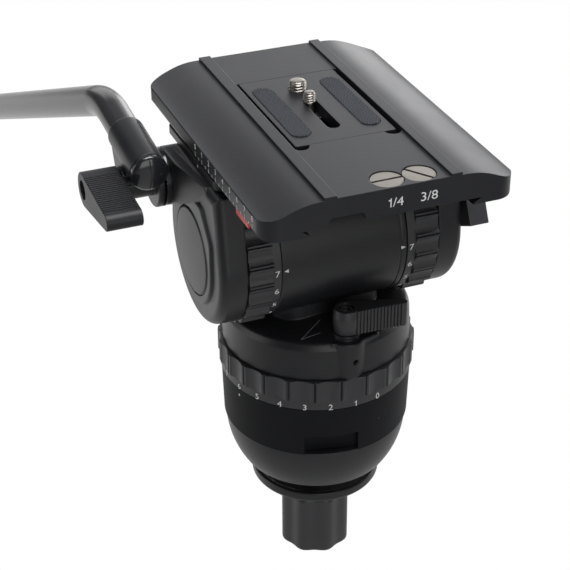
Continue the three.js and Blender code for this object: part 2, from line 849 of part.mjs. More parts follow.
// Rotating housing, hollow for the bearings, the drag cartridges and the tilt axle
function panHousing() {
  const bearingTop = neckTop + thrustHeight + gap;
  const hubBearingTop = hubBearingBottom + hubBearingHeight;
  const tiltMiddle = [tiltCentre, 0, tiltAxis];
  const tiltLeverPlace = [tiltCentre + tiltLeverX, 0, tiltAxis - tiltLeverDrop];
  const ringRoom = [-1, 1].map((side) => rod(tiltGripRadius + 2 * gap, side * (housingHalf + gap / 2),
    side * earOuter, bigSideCount, "x", tiltMiddle));
  const hollow = cut(housingOutside(), ...ringRoom,
    rod(thrustOuter + gap, skirtBottom - overrun, bearingTop, bigSideCount),
    rod(cavityRadius, skirtBottom - overrun, ceilingHeight, bigSideCount),
    rod(housingBore, -housingHalf - overrun, housingHalf + overrun, bigSideCount, "x", tiltMiddle));
  const hub = rod(hubBearingRadius + gap + hubWall, hubBearingBottom + gap, ceilingHeight + overrun,
    midSideCount);
  const screwBore = leverScrewRadius + gap;
  const setScrewBack = setScrewY + setScrewSunk + setScrewDepth + gap;
  const body = cut(join(hollow, hub),
    rod(hubBearingRadius + gap, skirtBottom, hubBearingTop + gap, midSideCount),
    rod(axleRadius + gap, skirtBottom, axleTop + gap, midSideCount),
    rod(screwBore, panLeverBottom - panScrewDepth, panLeverBottom, tinySideCount, "z", [bossX, bossY, 0]),
    rod(screwBore, tiltBossReach - tiltScrewDepth, tiltBossReach + overrun, tinySideCount, "y",
      tiltLeverPlace),
    rod(setScrewRadius + gap, setScrewY - 2 * overrun, setScrewBack, tinySideCount, "y",
      [setScrewX, 0, setScrewZ]),
    rod(levelRadius + gap, levelSeat, domeTop + overrun, smallSideCount, "z", [levelX, levelY, 0]));
  return piece("pan_housing", body, satinBlack());
}

function bossSetScrew() {
  const front = setScrewY + setScrewSunk;
  const body = rod(setScrewRadius, front, front + setScrewDepth, tinySideCount, "y",
    [setScrewX, 0, setScrewZ]);
  return piece("boss_set_screw", body, steel());
}

function levelCup() {
  const top = levelSeat + levelHeight;
  const inner = levelRadius - levelWall;
  const body = turned([
    [0, levelSeat], [levelRadius, levelSeat], [levelRadius, top], [inner, top], [inner, top - vialHeight],
    [0, top - vialHeight],
  ], smallSideCount, "z", [levelX, levelY, 0]);
  return piece("level_cup", body, anodisedBlack());
}

function levelVial() {
  const top = levelSeat + levelHeight;
  const body = rod(levelRadius - levelWall - gap, top - vialHeight, top - gap, smallSideCount, "z",
    [levelX, levelY, 0]);
  return piece("level_vial", body, levelGlass());
}

// A lock lever with its through hole and the recess for its screw's head
function lockLever(name, hub, reach, tip, lean, height, ribCount) {
  const recess = height - leverScrewSunk - leverScrewHeadHeight;
  const body = cut(lever(hub, reach, tip, lean, height, ribCount),
    rod(leverScrewRadius + gap, -overrun, height + overrun, tinySideCount),
    rod(leverScrewHead + gap, recess, height + overrun, smallSideCount));
  return piece(name, body, mouldedBlack());
}

function lockScrew(name, leverHeight, depth) {
  const length = leverHeight - leverScrewSunk - leverScrewHeadHeight + depth - gap;
  return socketScrew(name, leverScrewRadius, leverScrewHead, leverScrewHeadHeight, length);
}

// Pan lock lever on the front boss, its axis upright
function panLock() {
  const handle = lockLever("pan_lock_lever", panLeverHub, panLeverReach, panLeverTip, panLeverLean,
    panLeverHeight, panLeverRibCount);
  handle.position.set(bossX, bossY, panLeverBottom);
  const screw = lockScrew("pan_lock_screw", panLeverHeight, panScrewDepth);
  screw.rotation.x = Math.PI;
  screw.position.set(bossX, bossY, panLeverBottom + panLeverHeight - leverScrewSunk);
  return [handle, screw];
}

// Tilt lock lever on the rear of the tilt cylinder, its axis level
function tiltLock() {
  const handle = lockLever("tilt_lock_lever", tiltLeverHub, tiltLeverReach, tiltLeverTip, tiltLeverLean,
    tiltLeverHeight, tiltLeverRibCount);
  const inner = tiltBossReach + gap;
  handle.rotation.x = -Math.PI / 2;
  handle.position.set(tiltLeverX, inner, -tiltLeverDrop);
  const screw = lockScrew("tilt_lock_screw", tiltLeverHeight, tiltScrewDepth);
  screw.rotation.x = Math.PI / 2;
  screw.position.set(tiltLeverX, inner + tiltLeverHeight - leverScrewSunk, -tiltLeverDrop);
  return [handle, screw];
}

// Section of the cartridge in one half of the tilt cylinder; its hub carries a drag ring
function cartridgeSection() {
  const shoulder = housingHalf - 2 * gap;
  const wide = tiltAxleRadius + gap + bushingWall + gap;
  const seat = cartridgeEnd - bushingLength - gap;
  const outer = housingBore - gap;
  return [
    [tiltAxleRadius + 2 * gap, seat], [wide, seat], [wide, cartridgeEnd], [cartridgeHub, cartridgeEnd],
    [cartridgeHub, shoulder], [outer, shoulder], [outer, cartridgeInner],
  ];
}

function tiltDamper() {
  const body = turned([...cartridgeSection(), [tiltAxleRadius + 2 * gap, cartridgeInner]], bigSideCount);
  return outward("left", piece("tilt_damper", body, anodisedBlack()));
}

function counterbalance() {
  const room = springRadius + gap;
  const floor = cartridgeInner + springLength + gap;
  const drum = turned([
    ...cartridgeSection(), [room, cartridgeInner], [room, floor], [tiltAxleRadius + 2 * gap, floor],
  ], bigSideCount);
  const spring = tube(springInner, springRadius, cartridgeInner, cartridgeInner + springLength, midSideCount);
  return outward("right", piece("counterbalance_drum", drum, anodisedBlack()),
    piece("counterbalance_spring", spring, steel()));
}

function tiltBushing(side) {
  const inner = tiltAxleRadius + gap;
  const body = tube(inner, inner + bushingWall, cartridgeEnd - bushingLength, cartridgeEnd, midSideCount);
  return outward(side, piece(`${side}_tilt_bushing`, body, bronze()));
}

function tiltRing(side, name) {
  const body = dragRing(cartridgeHub + gap, tiltBandRadius, tiltBandHeight, tiltGripRadius, tiltGripHeight,
    tiltFluteDepth);
  const mesh = piece(name, body, mouldedBlack());
  mesh.position.z = housingHalf + gap;
  mesh.rotation.z = radians(tiltRingTurnDeg);
  return outward(side, mesh);
}

function tiltAxle() {
  const bores = [-1, 1].map((side) => rod(boltShank + gap, side * (boltEnd - gap),
    side * (tiltAxleHalf + overrun), tinySideCount, "x"));
  const body = cut(rod(tiltAxleRadius, -tiltAxleHalf, tiltAxleHalf, midSideCount, "x"), ...bores);
  return piece("tilt_axle", body, steel());
}

// Ear outline about the tilt axis: a half round below, nearly straight sides up to the platform
function earShape() {
  const tangent = Math.atan2(earTop, earTopHalf) - Math.acos(earRadius / Math.hypot(earTopHalf, earTop));
  const shape = new THREE.Shape();
  shape.absarc(0, 0, earRadius, Math.PI - tangent, fullTurn + tangent, false);
  shape.lineTo(earTopHalf, earTop);
  shape.lineTo(-earTopHalf, earTop);
  return shape;
}

// Outline of the raised shield round the ear's disc
function shieldShape() {
  const shape = new THREE.Shape();
  shape.absarc(0, -discDrop, shieldRadius, Math.PI, fullTurn, false);
  shape.lineTo(shieldRadius, shieldHead / 2);
  shape.lineTo(shieldHeadHalf, shieldHead);
  shape.lineTo(-shieldHeadHalf, shieldHead);
  shape.lineTo(-shieldRadius, shieldHead / 2);
  return shape;
}

// Ear with its shield and what is joined to it, then hollowed for the disc, bolt, axle and platform screws
function earBody(side, ...extras) {
  const tall = 2 * earRadius + earTop;
  const plate = roundedSlab(earShape(), earInner - 2 * earRound, earOuter, earRound, earRoundSteps);
  const trim = block([earInner - 3 * earRound, -tall, -tall], [earInner, tall, tall]);
  const shield = roundedSlab(shieldShape(), earOuter - shieldRise, earOuter + shieldRise, shieldRise,
    cornerSteps);
  const screwX = deckScrewX - side * tiltCentre;
  return cut(join(cut(plate, trim), shield, ...extras),
    rod(discRadius + gap, discFloor, earOuter + 2 * shieldRise, bigSideCount, "x", [0, 0, -discDrop]),
    rod(boltHead + gap, discFloor - boltHeadHeight - gap, discFloor + overrun, smallSideCount, "x"),
    rod(boltShank + gap, earInner, discFloor, tinySideCount, "x"),
    rod(tiltAxleRadius + gap, earInner - overrun, tiltAxleHalf + gap, midSideCount, "x"),
    ...holesAt([[screwX, -deckScrewY], [screwX, deckScrewY]], deckScrewRadius + gap,
      earTop - deckScrewLength, earTop + overrun, tinySideCount));
}

function rightEar() {
  const holeStart = plateLeverInner - tiltCentre - plateLeverPinDepth;
  const pinHole = rod(plateLeverPin + gap, holeStart, earOuter + overrun, tinySideCount, "x",
    [0, plateLeverY, plateLeverZ - tiltAxis]);
  return piece("right_ear", cut(earBody(1), pinHole), satinBlack());
}

// Left ear with the arm that carries the handle's rosette; it is made on the right and turned over
function leftEar() {
  const armShape = beltShape(-rosetteY, rosetteRise, rosetteRadius, -armFrontY, armFrontRise, armFrontRadius);
  const arm = roundedSlab(armShape, earOuter - 2 * earRound, armReach, armRound, armRoundSteps);
  const bore = rod(rosetteBore, armReach - rosetteBoreDepth, armReach + overrun, smallSideCount, "x",
    [0, -rosetteY, rosetteRise]);
  const mesh = piece("left_ear", cut(earBody(-1, arm), bore), satinBlack());
  mesh.rotation.z = Math.PI;
  return mesh;
}

// Cover disc in each ear's shield, and the bolt behind it that holds the axle
function earFittings(side) {
  const edge = discFloor + discEdge;
  const body = turned([
    [0, discFloor], [discRadius, discFloor], [discRadius, edge], [discRadius - discEdge, edge + discDome / 2],
    [discRadius / 2, edge + discDome], [0, edge + discDome],
  ], bigSideCount);
  const disc = outward(side, piece(`${side}_ear_disc`, body, anodisedBlack()));
  disc.position.z = -discDrop;
  const bolt = socketScrew(`${side}_axle_bolt`, boltShank, boltHead, boltHeadHeight, boltLength);
  bolt.rotation.x = Math.PI;
  bolt.position.z = discFloor - gap;
  return [disc, outward(side, bolt)];
}

function deckScrewPlaces() {
  return [
    [-deckScrewX, -deckScrewY], [deckScrewX, -deckScrewY],
    [deckScrewX, deckScrewY], [-deckScrewX, deckScrewY],
  ];
}

// Platform that joins the ears and carries the dovetail rail
function platform() {
  const flange = roundedRectangle(-deckHalf, -deckFlangeFront, deckHalf, deckRear, deckCorner);
  const nose = roundedRectangle(-deckNoseHalf, -deckNose, deckNoseHalf, 0, deckCorner);
  const railTop = deckTop + railHeight;
  const rail = outline([
    [-railHalf, deckTop - overrun], [railHalf, deckTop - overrun], [railHalf, deckTop],
    [railHalf + railFlare, railTop], [-railHalf - railFlare, railTop], [-railHalf, deckTop],
  ]);
  const body = join(
    solid(slab(flange, deckBottom, deckTop, cornerSteps)),
    solid(slab(nose, deckBottom, deckTop, cornerSteps)),
    lengthwise(rail, -railFront, deckRear));
  const stemRoom = block(
    [-deckNoseHalf - overrun, -buttonFront - gap, buttonTop - buttonStem - gap],
    [-deckNoseHalf + buttonDepth + buttonTravel + gap, -buttonFront + buttonLength + gap, deckTop + overrun]);
  const places = deckScrewPlaces();
  const headFloor = deckTop - deckScrewHeadHeight - gap;
  return piece("platform", cut(body, stemRoom,
    ...holesAt(places, deckScrewRadius + gap, deckBottom - overrun, deckTop, tinySideCount),
    ...holesAt(places, deckScrewHead + gap, headFloor, deckTop + overrun, smallSideCount)), satinBlack());
}

function platformScrews() {
  return deckScrewPlaces().map(([x, y], i) => {
    const mesh = socketScrew(`platform_screw_${i + 1}`, deckScrewRadius, deckScrewHead, deckScrewHeadHeight,
      deckScrewLength);
    mesh.rotation.x = Math.PI;
    mesh.position.set(x, y, deckTop - gap);
    return mesh;
  });
}

function releaseButton() {
  const outer = -deckNoseHalf - buttonProud;
  const back = -buttonFront + buttonLength;
  const lip = block([outer, -buttonFront, buttonBottom], [outer + overrun, back, buttonTop]);
  const stem = block([outer, -buttonFront, buttonTop - buttonStem],
    [-deckNoseHalf + buttonDepth, back, buttonTop]);
  return piece("plate_release_button", join(lip, stem), redPlastic());
}

// Lever that clamps the sliding plate, outside the right ear, with its pin
function plateLock() {
  const bore = rod(plateLeverPin + gap, -overrun, plateLeverWidth - overrun, tinySideCount);
  const body = lever(plateLeverHub, plateLeverReach, plateLeverTip, plateLeverLean, plateLeverWidth, 0);
  const handle = piece("plate_lock_lever", cut(body, bore), mouldedBlack());
  handle.rotation.z = radians(plateLeverTurnDeg);
  const pinEnd = plateLeverWidth - overrun - gap;
  const pinBody = rod(plateLeverPin, gap - plateLeverPinDepth, pinEnd, tinySideCount);
  const pin = piece("plate_lock_pin", pinBody, steel());
  const holder = sideways(handle, pin);
  holder.position.set(plateLeverInner, plateLeverY, plateLeverZ);
  return holder;
}

// Section of the sliding plate: channel, strips, falling wings, round lower edges and the dovetail groove
function plateSection() {
  const half = [[stripHalf, plateTop + stripRise]];
  for (let step = 0; step <= wingStepCount; step += 1) {
    const share = step / wingStepCount;
    const fall = wingFall * (1 - Math.cos(Math.PI * share ** wingEase_share)) / 2;
    half.push([stripHalf + (plateHalf - stripHalf) * share, plateTop - wingStep - fall]);
  }
  for (let step = 0; step <= plateCornerSteps; step += 1) {
    const angle = Math.PI / 2 * step / plateCornerSteps;
    half.push([
      plateHalf - plateEdgeRound * (1 - Math.cos(angle)), plateUnder + plateEdgeRound * (1 - Math.sin(angle)),
    ]);
  }
  half.push([grooveHalf, plateUnder], [grooveHalf + railFlare, grooveCeiling]);
  const mirrored = half.map(([x, z]) => [-x, z]).reverse();
  const channel = [[pocketX - channelHalf, plateTop + stripRise], [pocketX - channelHalf, plateTop],
    [pocketX + channelHalf, plateTop], [pocketX + channelHalf, plateTop + stripRise]];
  return outline([...half, ...mirrored, ...channel]);
}

function slidingPlate() {
  const high = plateTop + stripRise + overrun;
  const pocketFloor = cameraPlateBottom - gap;
  const plan = roundedRectangle(-plateHalf, -plateFront, plateHalf, plateRear, plateCorner);
  const body = lengthwise(plateSection(), -plateFront, plateRear)
    .intersect(solid(slab(plan, plateUnder - overrun, high, plateCornerSteps)));
  const pocket = block([pocketX - channelHalf, -cameraPlateFront - gap, pocketFloor],
    [pocketX + channelHalf, cameraPlateRear + gap, high]);
  const window = block([pocketX - windowHalf, -slotFront - windowHalf, plateUnder],
    [pocketX + windowHalf, threeEighthsY + windowHalf, cameraPlateBottom]);
  const reliefX = channelHalf - reliefRadius;
  const reliefs = [-1, 1].map((side) => [pocketX + side * reliefX, -cameraPlateFront - gap]);
  const notchShape = roundedRectangle(noseNotchX - noseNotchHalf, plateUnder - overrun,
    noseNotchX + noseNotchHalf, grooveCeiling + noseNotchHeight, noseNotchHeight / 2);
  const notch = lengthwise(notchShape, -plateFront - overrun, noseNotchDepth - plateFront, cornerSteps);
  const spares = [[spareQuarterX, spareY], [spareThreeEighthsX, spareY]];
  return piece("sliding_plate", cut(body, pocket, window, notch,
    ...holesAt(reliefs, reliefRadius, pocketFloor, high, smallSideCount),
    ...holesAt(spares, spareHead + gap, plateTop - spareRecess, high, midSideCount),
    ...holesAt(spares.slice(0, 1), quarterRadius + gap, plateUnder, plateTop, smallSideCount),
    ...holesAt(spares.slice(1), threeEighthsRadius + gap, plateUnder, plateTop, smallSideCount)),
  anodisedBlack());
}

// Camera plate, flush in the sliding plate's pocket, its long sides bevelled to a wider foot
function cameraPlate() {
  const shoulder = cameraPlateBottom + cameraPlateBevel;
  const half = [[cameraPlateFoot, cameraPlateBottom], [cameraPlateFoot, shoulder],
    [cameraPlateHalf, shoulder + cameraPlateBevel], [cameraPlateHalf, plateTop]];
  const right = half.map(([x, z]) => [pocketX + x, z]);
  const left = half.map(([x, z]) => [pocketX - x, z]).reverse();
  const plan = roundedRectangle(pocketX - cameraPlateFoot, -cameraPlateFront, pocketX + cameraPlateFoot,
    cameraPlateRear, cameraPlateCorner);
  const body = lengthwise(outline([...right, ...left]), -cameraPlateFront, cameraPlateRear)
    .intersect(solid(slab(plan, cameraPlateBottom - overrun, plateTop + overrun, cornerSteps)));
  const padRooms = [-padX, padX].map((x) => solid(slab(padShape(x, gap), plateTop - padSunk - gap,
    plateTop + overrun, arcSteps)));
  const low = cameraPlateBottom - overrun;
  const high = plateTop + overrun;
  const slot = solid(slab(slotShape(0, -slotFront, quarterY, slotRadius), low, high, arcSteps));
  const hole = rod(threeEighthsRadius + gap, low, high, smallSideCount, "z", [0, threeEighthsY, 0]);
  return piece("camera_plate", cut(body, ...padRooms, slot, hole), anodisedBlack());
}

function padShape(x, extra) {
  const half = padLength / 2 - padRadius;
  return slotShape(pocketX + x, padY - half, padY + half, padRadius + extra);
}

function pad(name, x) {
  const body = solid(slab(padShape(x, 0), plateTop - padSunk, plateTop + padProud, arcSteps));
  return piece(name, body, padRubber());
}

// Camera screw standing in the camera plate, with a coin slot in its head below
function cameraScrew(name, radius, head, y, stand, headTop) {
  const bottom = headTop - cameraScrewHeadHeight;
  const top = plateTop + stand;
  const body = turned([
    [0, bottom], [head, bottom], [head, headTop], [radius, headTop], [radius, top - cameraScrewChamfer],
    [radius - cameraScrewChamfer, top], [0, top],
  ], midSideCount);
  const mesh = piece(name, cut(body, coinSlot(head, bottom)), nickel());
  mesh.position.y = y;
  return mesh;
}

function quarterWasher() {
  const top = cameraPlateBottom - gap;
  const body = block([-washerHalf, quarterY - washerHalf, top - washerThickness],
    [washerHalf, quarterY + washerHalf, top]);
  const hole = rod(quarterRadius + gap, top - washerThickness - overrun, top + overrun, smallSideCount, "z",
    [0, quarterY, 0]);
  return piece("quarter_inch_washer", cut(body, hole), steel());
}

// Spare screw kept head up in the front of the sliding plate
function spareScrew(name, radius, x, slotTurnDeg) {
  const screw = screwBody(radius, spareHead, spareHeadHeight, spareLength, midSideCount);
  const mesh = piece(name, cut(screw, coinSlot(spareHead, 0)), nickel());
  mesh.rotation.set(Math.PI, 0, radians(slotTurnDeg));
  mesh.position.set(x, spareY, plateTop - spareRecess + spareHeadHeight);
  return mesh;
}

// Radial grooves across a face at a level on its own Z
function toothGrooves(level) {
  const grooves = [];
  for (let tooth = 0; tooth < toothCount; tooth += 1) {
    const geometry = new THREE.BoxGeometry(toothSide, rosetteRadius, toothSide).rotateY(Math.PI / 4);
    geometry.scale(toothStretch, 1, 1);
    geometry.translate(0, rosetteRadius, level);
    grooves.push(geometry.rotateZ(fullTurn * tooth / toothCount));
  }
  return grooves;
}

function rosette() {
  const face = armReach + rosetteThickness;
  const plain = tube(rosetteBore, rosetteRadius, armReach, face, bigSideCount);
  const body = cut(plain, ...toothGrooves(face).map(solid));
  return outward("left", piece("handle_rosette", body, satinBlack()));
}

// The sleeve lies along Y beside the rosette, its front end dropped a little
function intoSleeve(geometry) {
  return solid(geometry.rotateX(radians(sleeveRiseDeg)).translate(-barOut, sleeveFront, sleeveFrontRise));
}

// Side view in Y and Z of the web that widens from the hub to the sleeve's rear
function clampWeb() {
  return outline([
    [-sleeveFront - clampWebFront, 0], [-sleeveFront - clampWebFront, -sleeveFrontRise],
    [clampWebFront - sleeveFront, -sleeveFrontRise], [clampWebRear - sleeveFront, 0],
  ]);
}

// Clamp: toothed disc, hub for the knob's screw, and the split sleeve for the bar
function handleClamp() {
  const toothed = cut(rod(rosetteRadius, -clampFace - clampDisc, -clampFace, bigSideCount, "x"),
    ...toothGrooves(-clampFace).map((geometry) => solid(aim(geometry, "x"))));
  const hub = rod(clampHub, -clampEnd, -clampFace - overrun, midSideCount, "x");
  const sleeve = intoSleeve(turnedGeometry(rodProfile(sleeveRadius, 0, sleeveLength), midSideCount, "y"));
  const web = intoSleeve(aim(slab(clampWeb(), -clampHub, clampHub), "x"));
  const barHole = intoSleeve(turnedGeometry(rodProfile(barRadius + gap, -overrun, sleeveLength + overrun),
    barSideCount, "y"));
  const split = intoSleeve(new THREE.BoxGeometry(splitWidth, sleeveLength / 2, sleeveRadius)
    .translate(0, overrun, -sleeveRadius));
  const screwHole = rod(clampScrewRadius + gap, -clampEnd - overrun, overrun - clampFace, smallSideCount,
    "x");
  const body = cut(join(toothed, hub, sleeve, web), barHole, split, screwHole);
  return piece("handle_clamp", body, satinBlack());
}

// Wing knob on the clamp's screw, its arm pointing forward
function clampKnob() {
  const recess = clampScrewSunk + clampScrewHeadHeight;
  const body = cut(
    lever(clampKnobHub, clampKnobReach, clampKnobTip, clampKnobLean, clampKnobWidth, clampKnobRibCount),
    rod(clampScrewRadius + gap, -overrun, clampKnobWidth + overrun, smallSideCount),
    rod(clampScrewHead + gap, -overrun, recess, smallSideCount));
  const mesh = piece("clamp_knob", body, mouldedBlack());
  mesh.rotation.z = Math.PI;
  const screw = socketScrew("clamp_screw", clampScrewRadius, clampScrewHead, clampScrewHeadHeight,
    knobInner + clampKnobWidth - recess - armReach + rosetteBoreDepth / 2);
  screw.position.z = clampScrewSunk;
  const holder = sideways(mesh, screw);
  holder.position.x = -knobInner - clampKnobWidth;
  return holder;
}

// Centre line of the bar: a straight, a bend and a long straight, with its stations shared out evenly
class BarLine extends THREE.Curve {
  getPoint(t, target = new THREE.Vector3()) {
    const bend = radians(barBendDeg);
    const straight = Math.min(3 * t, 1) * barFirst;
    const angle = THREE.MathUtils.clamp(3 * t - 1, 0, 1) * bend;
    const tail = Math.max(3 * t - 2, 0) * barSecond;
    const y = straight + barBendRadius * Math.sin(angle) + tail * Math.cos(bend);
    const z = -barBendRadius * (1 - Math.cos(angle)) - tail * Math.sin(bend);
    return target.set(0, y, z);
  }

  getUtoTmapping(u) {
    return u;
  }
}

function handleBar() {
  const section = new THREE.Shape();
  section.absarc(0, 0, barRadius, 0, fullTurn, false);
  const bore = new THREE.Path();
  bore.absarc(0, 0, barRadius - barWall, 0, fullTurn, true);
  section.holes.push(bore);
  const geometry = new THREE.ExtrudeGeometry(section, {
    steps: 3 * barStepCount,
    extrudePath: new BarLine(),
    curveSegments: barSideCount / 2,
  });
  return piece("handle_bar", solid(geometry), satinBlack());
}

// Rubber grip over the bar's rear end
function handleGrip() {
  const inner = barRadius + gap;
  const body = turned([
    [inner, 0], [inner + gripRim, 0], [gripRadius, gripEdge], [gripRadius, gripLength - gripEdge],
    [inner + gripRim, gripLength], [0, gripLength], [0, gripOverBar], [inner, gripOverBar],
  ], midSideCount, "y");
  const mesh = piece("handle_grip", body, padRubber());
  const bend = radians(barBendDeg);
  const end = new BarLine().getPoint(1);
  const back = gripOverBar - gap;
  mesh.rotation.x = -bend;
  mesh.position.set(0, end.y - back * Math.cos(bend), end.z + back * Math.sin(bend));
  return mesh;
}

// Domed cap that closes the bar's front end
function handleFrontCap() {
  const plug = barRadius - barWall - gap;
  const front = capRadius_shares.map((share, i) => [
    sleeveRadius * share, -capEdge - capDome * capDome_shares[i],
  ]);
  const body = turned([
    [0, -capEdge - capDome], ...front, [sleeveRadius, -gap], [plug, -gap], [plug, capPlug], [0, capPlug],
  ], midSideCount, "y");
  return piece("handle_front_cap", body, mouldedBlack());
}

// The base, and what turns with the pan axis
const base = new THREE.Group();
base.add(halfBall(), baseDrum(), ...baseScrews(), tieRod(), tieDownCup(), tieDownKnob(), panAxle(),
  panThrustBearing(), panHubBearing(), panDamperCup(), panDragRing());
const pan = new THREE.Group();
pan.add(panHousing(), panDamperRotor(), bossSetScrew(), levelCup(), levelVial(), ...panLock());

// The handle, about the rosette's axis
const bar = new THREE.Group();
bar.position.set(-barOut, sleeveFront, sleeveFrontRise);
bar.rotation.x = radians(sleeveRiseDeg);
bar.rotation.y = radians(barTurnDeg);
bar.add(handleBar(), handleGrip(), handleFrontCap());
const handle = new THREE.Group();
handle.position.set(0, rosetteY, rosetteRise);
handle.add(rosette(), handleClamp(), clampKnob(), bar);

// The tilt cylinder's cartridges, rings, axle and ears, about the tilt axis
const tilt = new THREE.Group();
tilt.position.set(tiltCentre, 0, tiltAxis);
tilt.add(tiltDamper(), counterbalance(), tiltBushing("left"), tiltBushing("right"),
  tiltRing("left", "tilt_drag_ring"), tiltRing("right", "counterbalance_ring"), tiltAxle(), rightEar(),
  leftEar(), ...earFittings("left"), ...earFittings("right"), ...tiltLock(), handle);

// The platform and the plates on it
const washerTop = cameraPlateBottom - gap;
const deck = new THREE.Group();
deck.add(platform(), ...platformScrews(), releaseButton(), plateLock(), slidingPlate(), cameraPlate(),
  pad("left_pad", -padX), pad("right_pad", padX), quarterWasher(),
  cameraScrew("quarter_inch_screw", quarterRadius, quarterHead, quarterY, quarterStand,
    washerTop - washerThickness - gap),
  cameraScrew("three_eighths_screw", threeEighthsRadius, threeEighthsHead, threeEighthsY, threeEighthsStand,
    washerTop),
  spareScrew("spare_quarter_inch_screw", quarterRadius, spareQuarterX, spareQuarterTurnDeg),
  spareScrew("spare_three_eighths_screw", threeEighthsRadius, spareThreeEighthsX, spareThreeEighthsTurnDeg));

const head = new THREE.Group();
head.add(base, pan, tilt, deck);

export default head;
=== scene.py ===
"""Fluid video head: the fine surface of every piece, its finishes and the stage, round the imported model."""

import json
from math import acos, asin, atan2, cos, hypot, pi, radians, sin, sqrt, tan, tau

import bmesh
import bpy
from mathutils import Matrix, Vector


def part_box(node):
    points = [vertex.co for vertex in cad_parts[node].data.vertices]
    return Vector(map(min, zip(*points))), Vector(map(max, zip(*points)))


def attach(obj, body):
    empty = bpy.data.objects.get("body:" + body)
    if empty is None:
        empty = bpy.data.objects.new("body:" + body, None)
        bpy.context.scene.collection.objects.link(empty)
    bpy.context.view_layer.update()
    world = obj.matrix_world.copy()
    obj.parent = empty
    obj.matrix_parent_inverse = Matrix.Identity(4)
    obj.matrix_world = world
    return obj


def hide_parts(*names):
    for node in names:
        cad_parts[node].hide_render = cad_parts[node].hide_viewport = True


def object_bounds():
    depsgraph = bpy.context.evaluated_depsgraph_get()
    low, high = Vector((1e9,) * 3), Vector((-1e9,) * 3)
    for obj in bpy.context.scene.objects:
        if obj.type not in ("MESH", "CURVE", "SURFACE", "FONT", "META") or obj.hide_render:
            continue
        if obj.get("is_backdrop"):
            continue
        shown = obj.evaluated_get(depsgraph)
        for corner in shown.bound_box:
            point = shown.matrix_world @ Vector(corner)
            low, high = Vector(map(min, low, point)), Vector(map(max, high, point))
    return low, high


bl_info = {
    "name": "Fluid Video Head",
    "version": (1, 0, 0),
    "blender": (4, 5, 0),
    "location": "3D View > Sidebar > Video Head",
    "description": "Builds the pieces, finishes and stage of a fluid video head",
    "category": "Object",
}

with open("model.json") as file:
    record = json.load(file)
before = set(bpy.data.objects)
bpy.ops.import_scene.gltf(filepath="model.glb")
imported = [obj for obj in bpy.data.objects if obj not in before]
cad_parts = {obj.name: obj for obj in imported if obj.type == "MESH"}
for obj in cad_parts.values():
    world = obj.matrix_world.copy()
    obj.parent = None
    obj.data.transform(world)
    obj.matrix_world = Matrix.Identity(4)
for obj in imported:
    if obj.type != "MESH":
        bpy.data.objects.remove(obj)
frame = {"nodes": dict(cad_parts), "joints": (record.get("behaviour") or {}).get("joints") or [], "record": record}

MM = 0.001
TAU = tau
HALF_TURN = pi
QUARTER_TURN = pi / 2
RECORD = frame["record"]
BODY_OF = {node: body for body, nodes in RECORD["behaviour"]["bodies"].items() for node in nodes}
SLOT_OF = {part["node"]: part["material_slot"] for part in RECORD["subparts"]}
COLOUR_OF = {row["slot"]: tuple(row["base_color"][:3]) for row in RECORD["materials"]}
JOINT_OF = {joint["name"]: joint for joint in frame["joints"]}

# Clearance between pieces, overrun of cuts, sides round turned pieces
GAP = 0.3 * MM
OVERRUN = 1 * MM
FINE_SIDES = 160
ROUND_SIDES = 96
SMALL_SIDES = 40
SLEEVE_BORE_SIDES = 89
HEX_SIDES = 6
FLUTE_STEPS = 44
# Steps along each of the dome's two lines of painted highlight
DOME_LINE_STEPS = 12
BEND_STEPS = 32
DISC_STEPS = 16
DOME_STEPS = 20
RIB_STEPS = 6
WING_STEPS = 28
TOOTH_STEPS = 6

# Outlines: points nearer than this are one, and the sharpest corner that an inset follows in full
SAME_PLACE = 1e-7
SHARPEST = 0.4

# Small rounds of turned pieces
FINE_EDGE = 0.3 * MM
SPARE_RIM = 0.35 * MM
SET_SCREW_EDGE = 0.2 * MM
BOSS_EDGE = 0.5 * MM
CUP_RIM = 0.5 * MM

# Boss of the pan lock: where its arc begins and ends, in half turns
BOSS_ARC = (1.2, 1.75)

# Handle: bore for the clamp's screw, depth of the sleeve's split in radii, plain share of the grip at each end,
# width of the cap's seam and radius of its plug as shares
CLAMP_BORE = 3.8 * MM
SPLIT_DEPTH = 1.6
GRIP_PLAIN_SHARE = 0.08
SEAM_SHARE = 0.02
PLUG_SHARE = 0.7

# Level: rise of the vial's dome and its steps
LEVEL_DOME = 1 * MM
LEVEL_STEPS = 8

# Camera screws: sides, the end's two steps in pitches, sunk ring, tip and bare shank in thread depths, and the
# tip's radius
SCREW_SIDES = 64
THREAD_DEPTH_SHARE = 0.55
END_FROM, END_STEP = 0.7, 0.25
END_SUNK, TIP_SUNK, SHANK_SUNK = 0.9, 1.5, 1.2
TIP_SHARE = 0.45

# Socket screws: nodes, axis, side on which the head lies, share of the head that the shank takes, head height
BASE_SCREWS = tuple(f"base_screw_{i}" for i in (1, 2, 3))
PLATFORM_SCREWS = tuple(f"platform_screw_{i}" for i in (1, 2, 3, 4))
SCREW_SHANK_SHARE = 0.5556
SOCKET_SHARE = 0.85
DECK_HEAD_HEIGHT = 3.7 * MM
RING_SEAT = 6.2 * MM
SOCKET_SCREWS = (
    (BASE_SCREWS, "z", -1, SCREW_SHANK_SHARE, 4.5 * MM),
    (PLATFORM_SCREWS, "z", 1, SCREW_SHANK_SHARE, 3.4 * MM),
    (("pan_lock_screw",), "z", 1, 0.75, 3 * MM),
    (("tilt_lock_screw",), "y", 1, 0.75, 3 * MM),
    (("clamp_screw",), "x", -1, 0.7, 3 * MM),
    (("left_axle_bolt",), "x", -1, 0.5, 4 * MM),
    (("right_axle_bolt",), "x", 1, 0.5, 4 * MM),
)

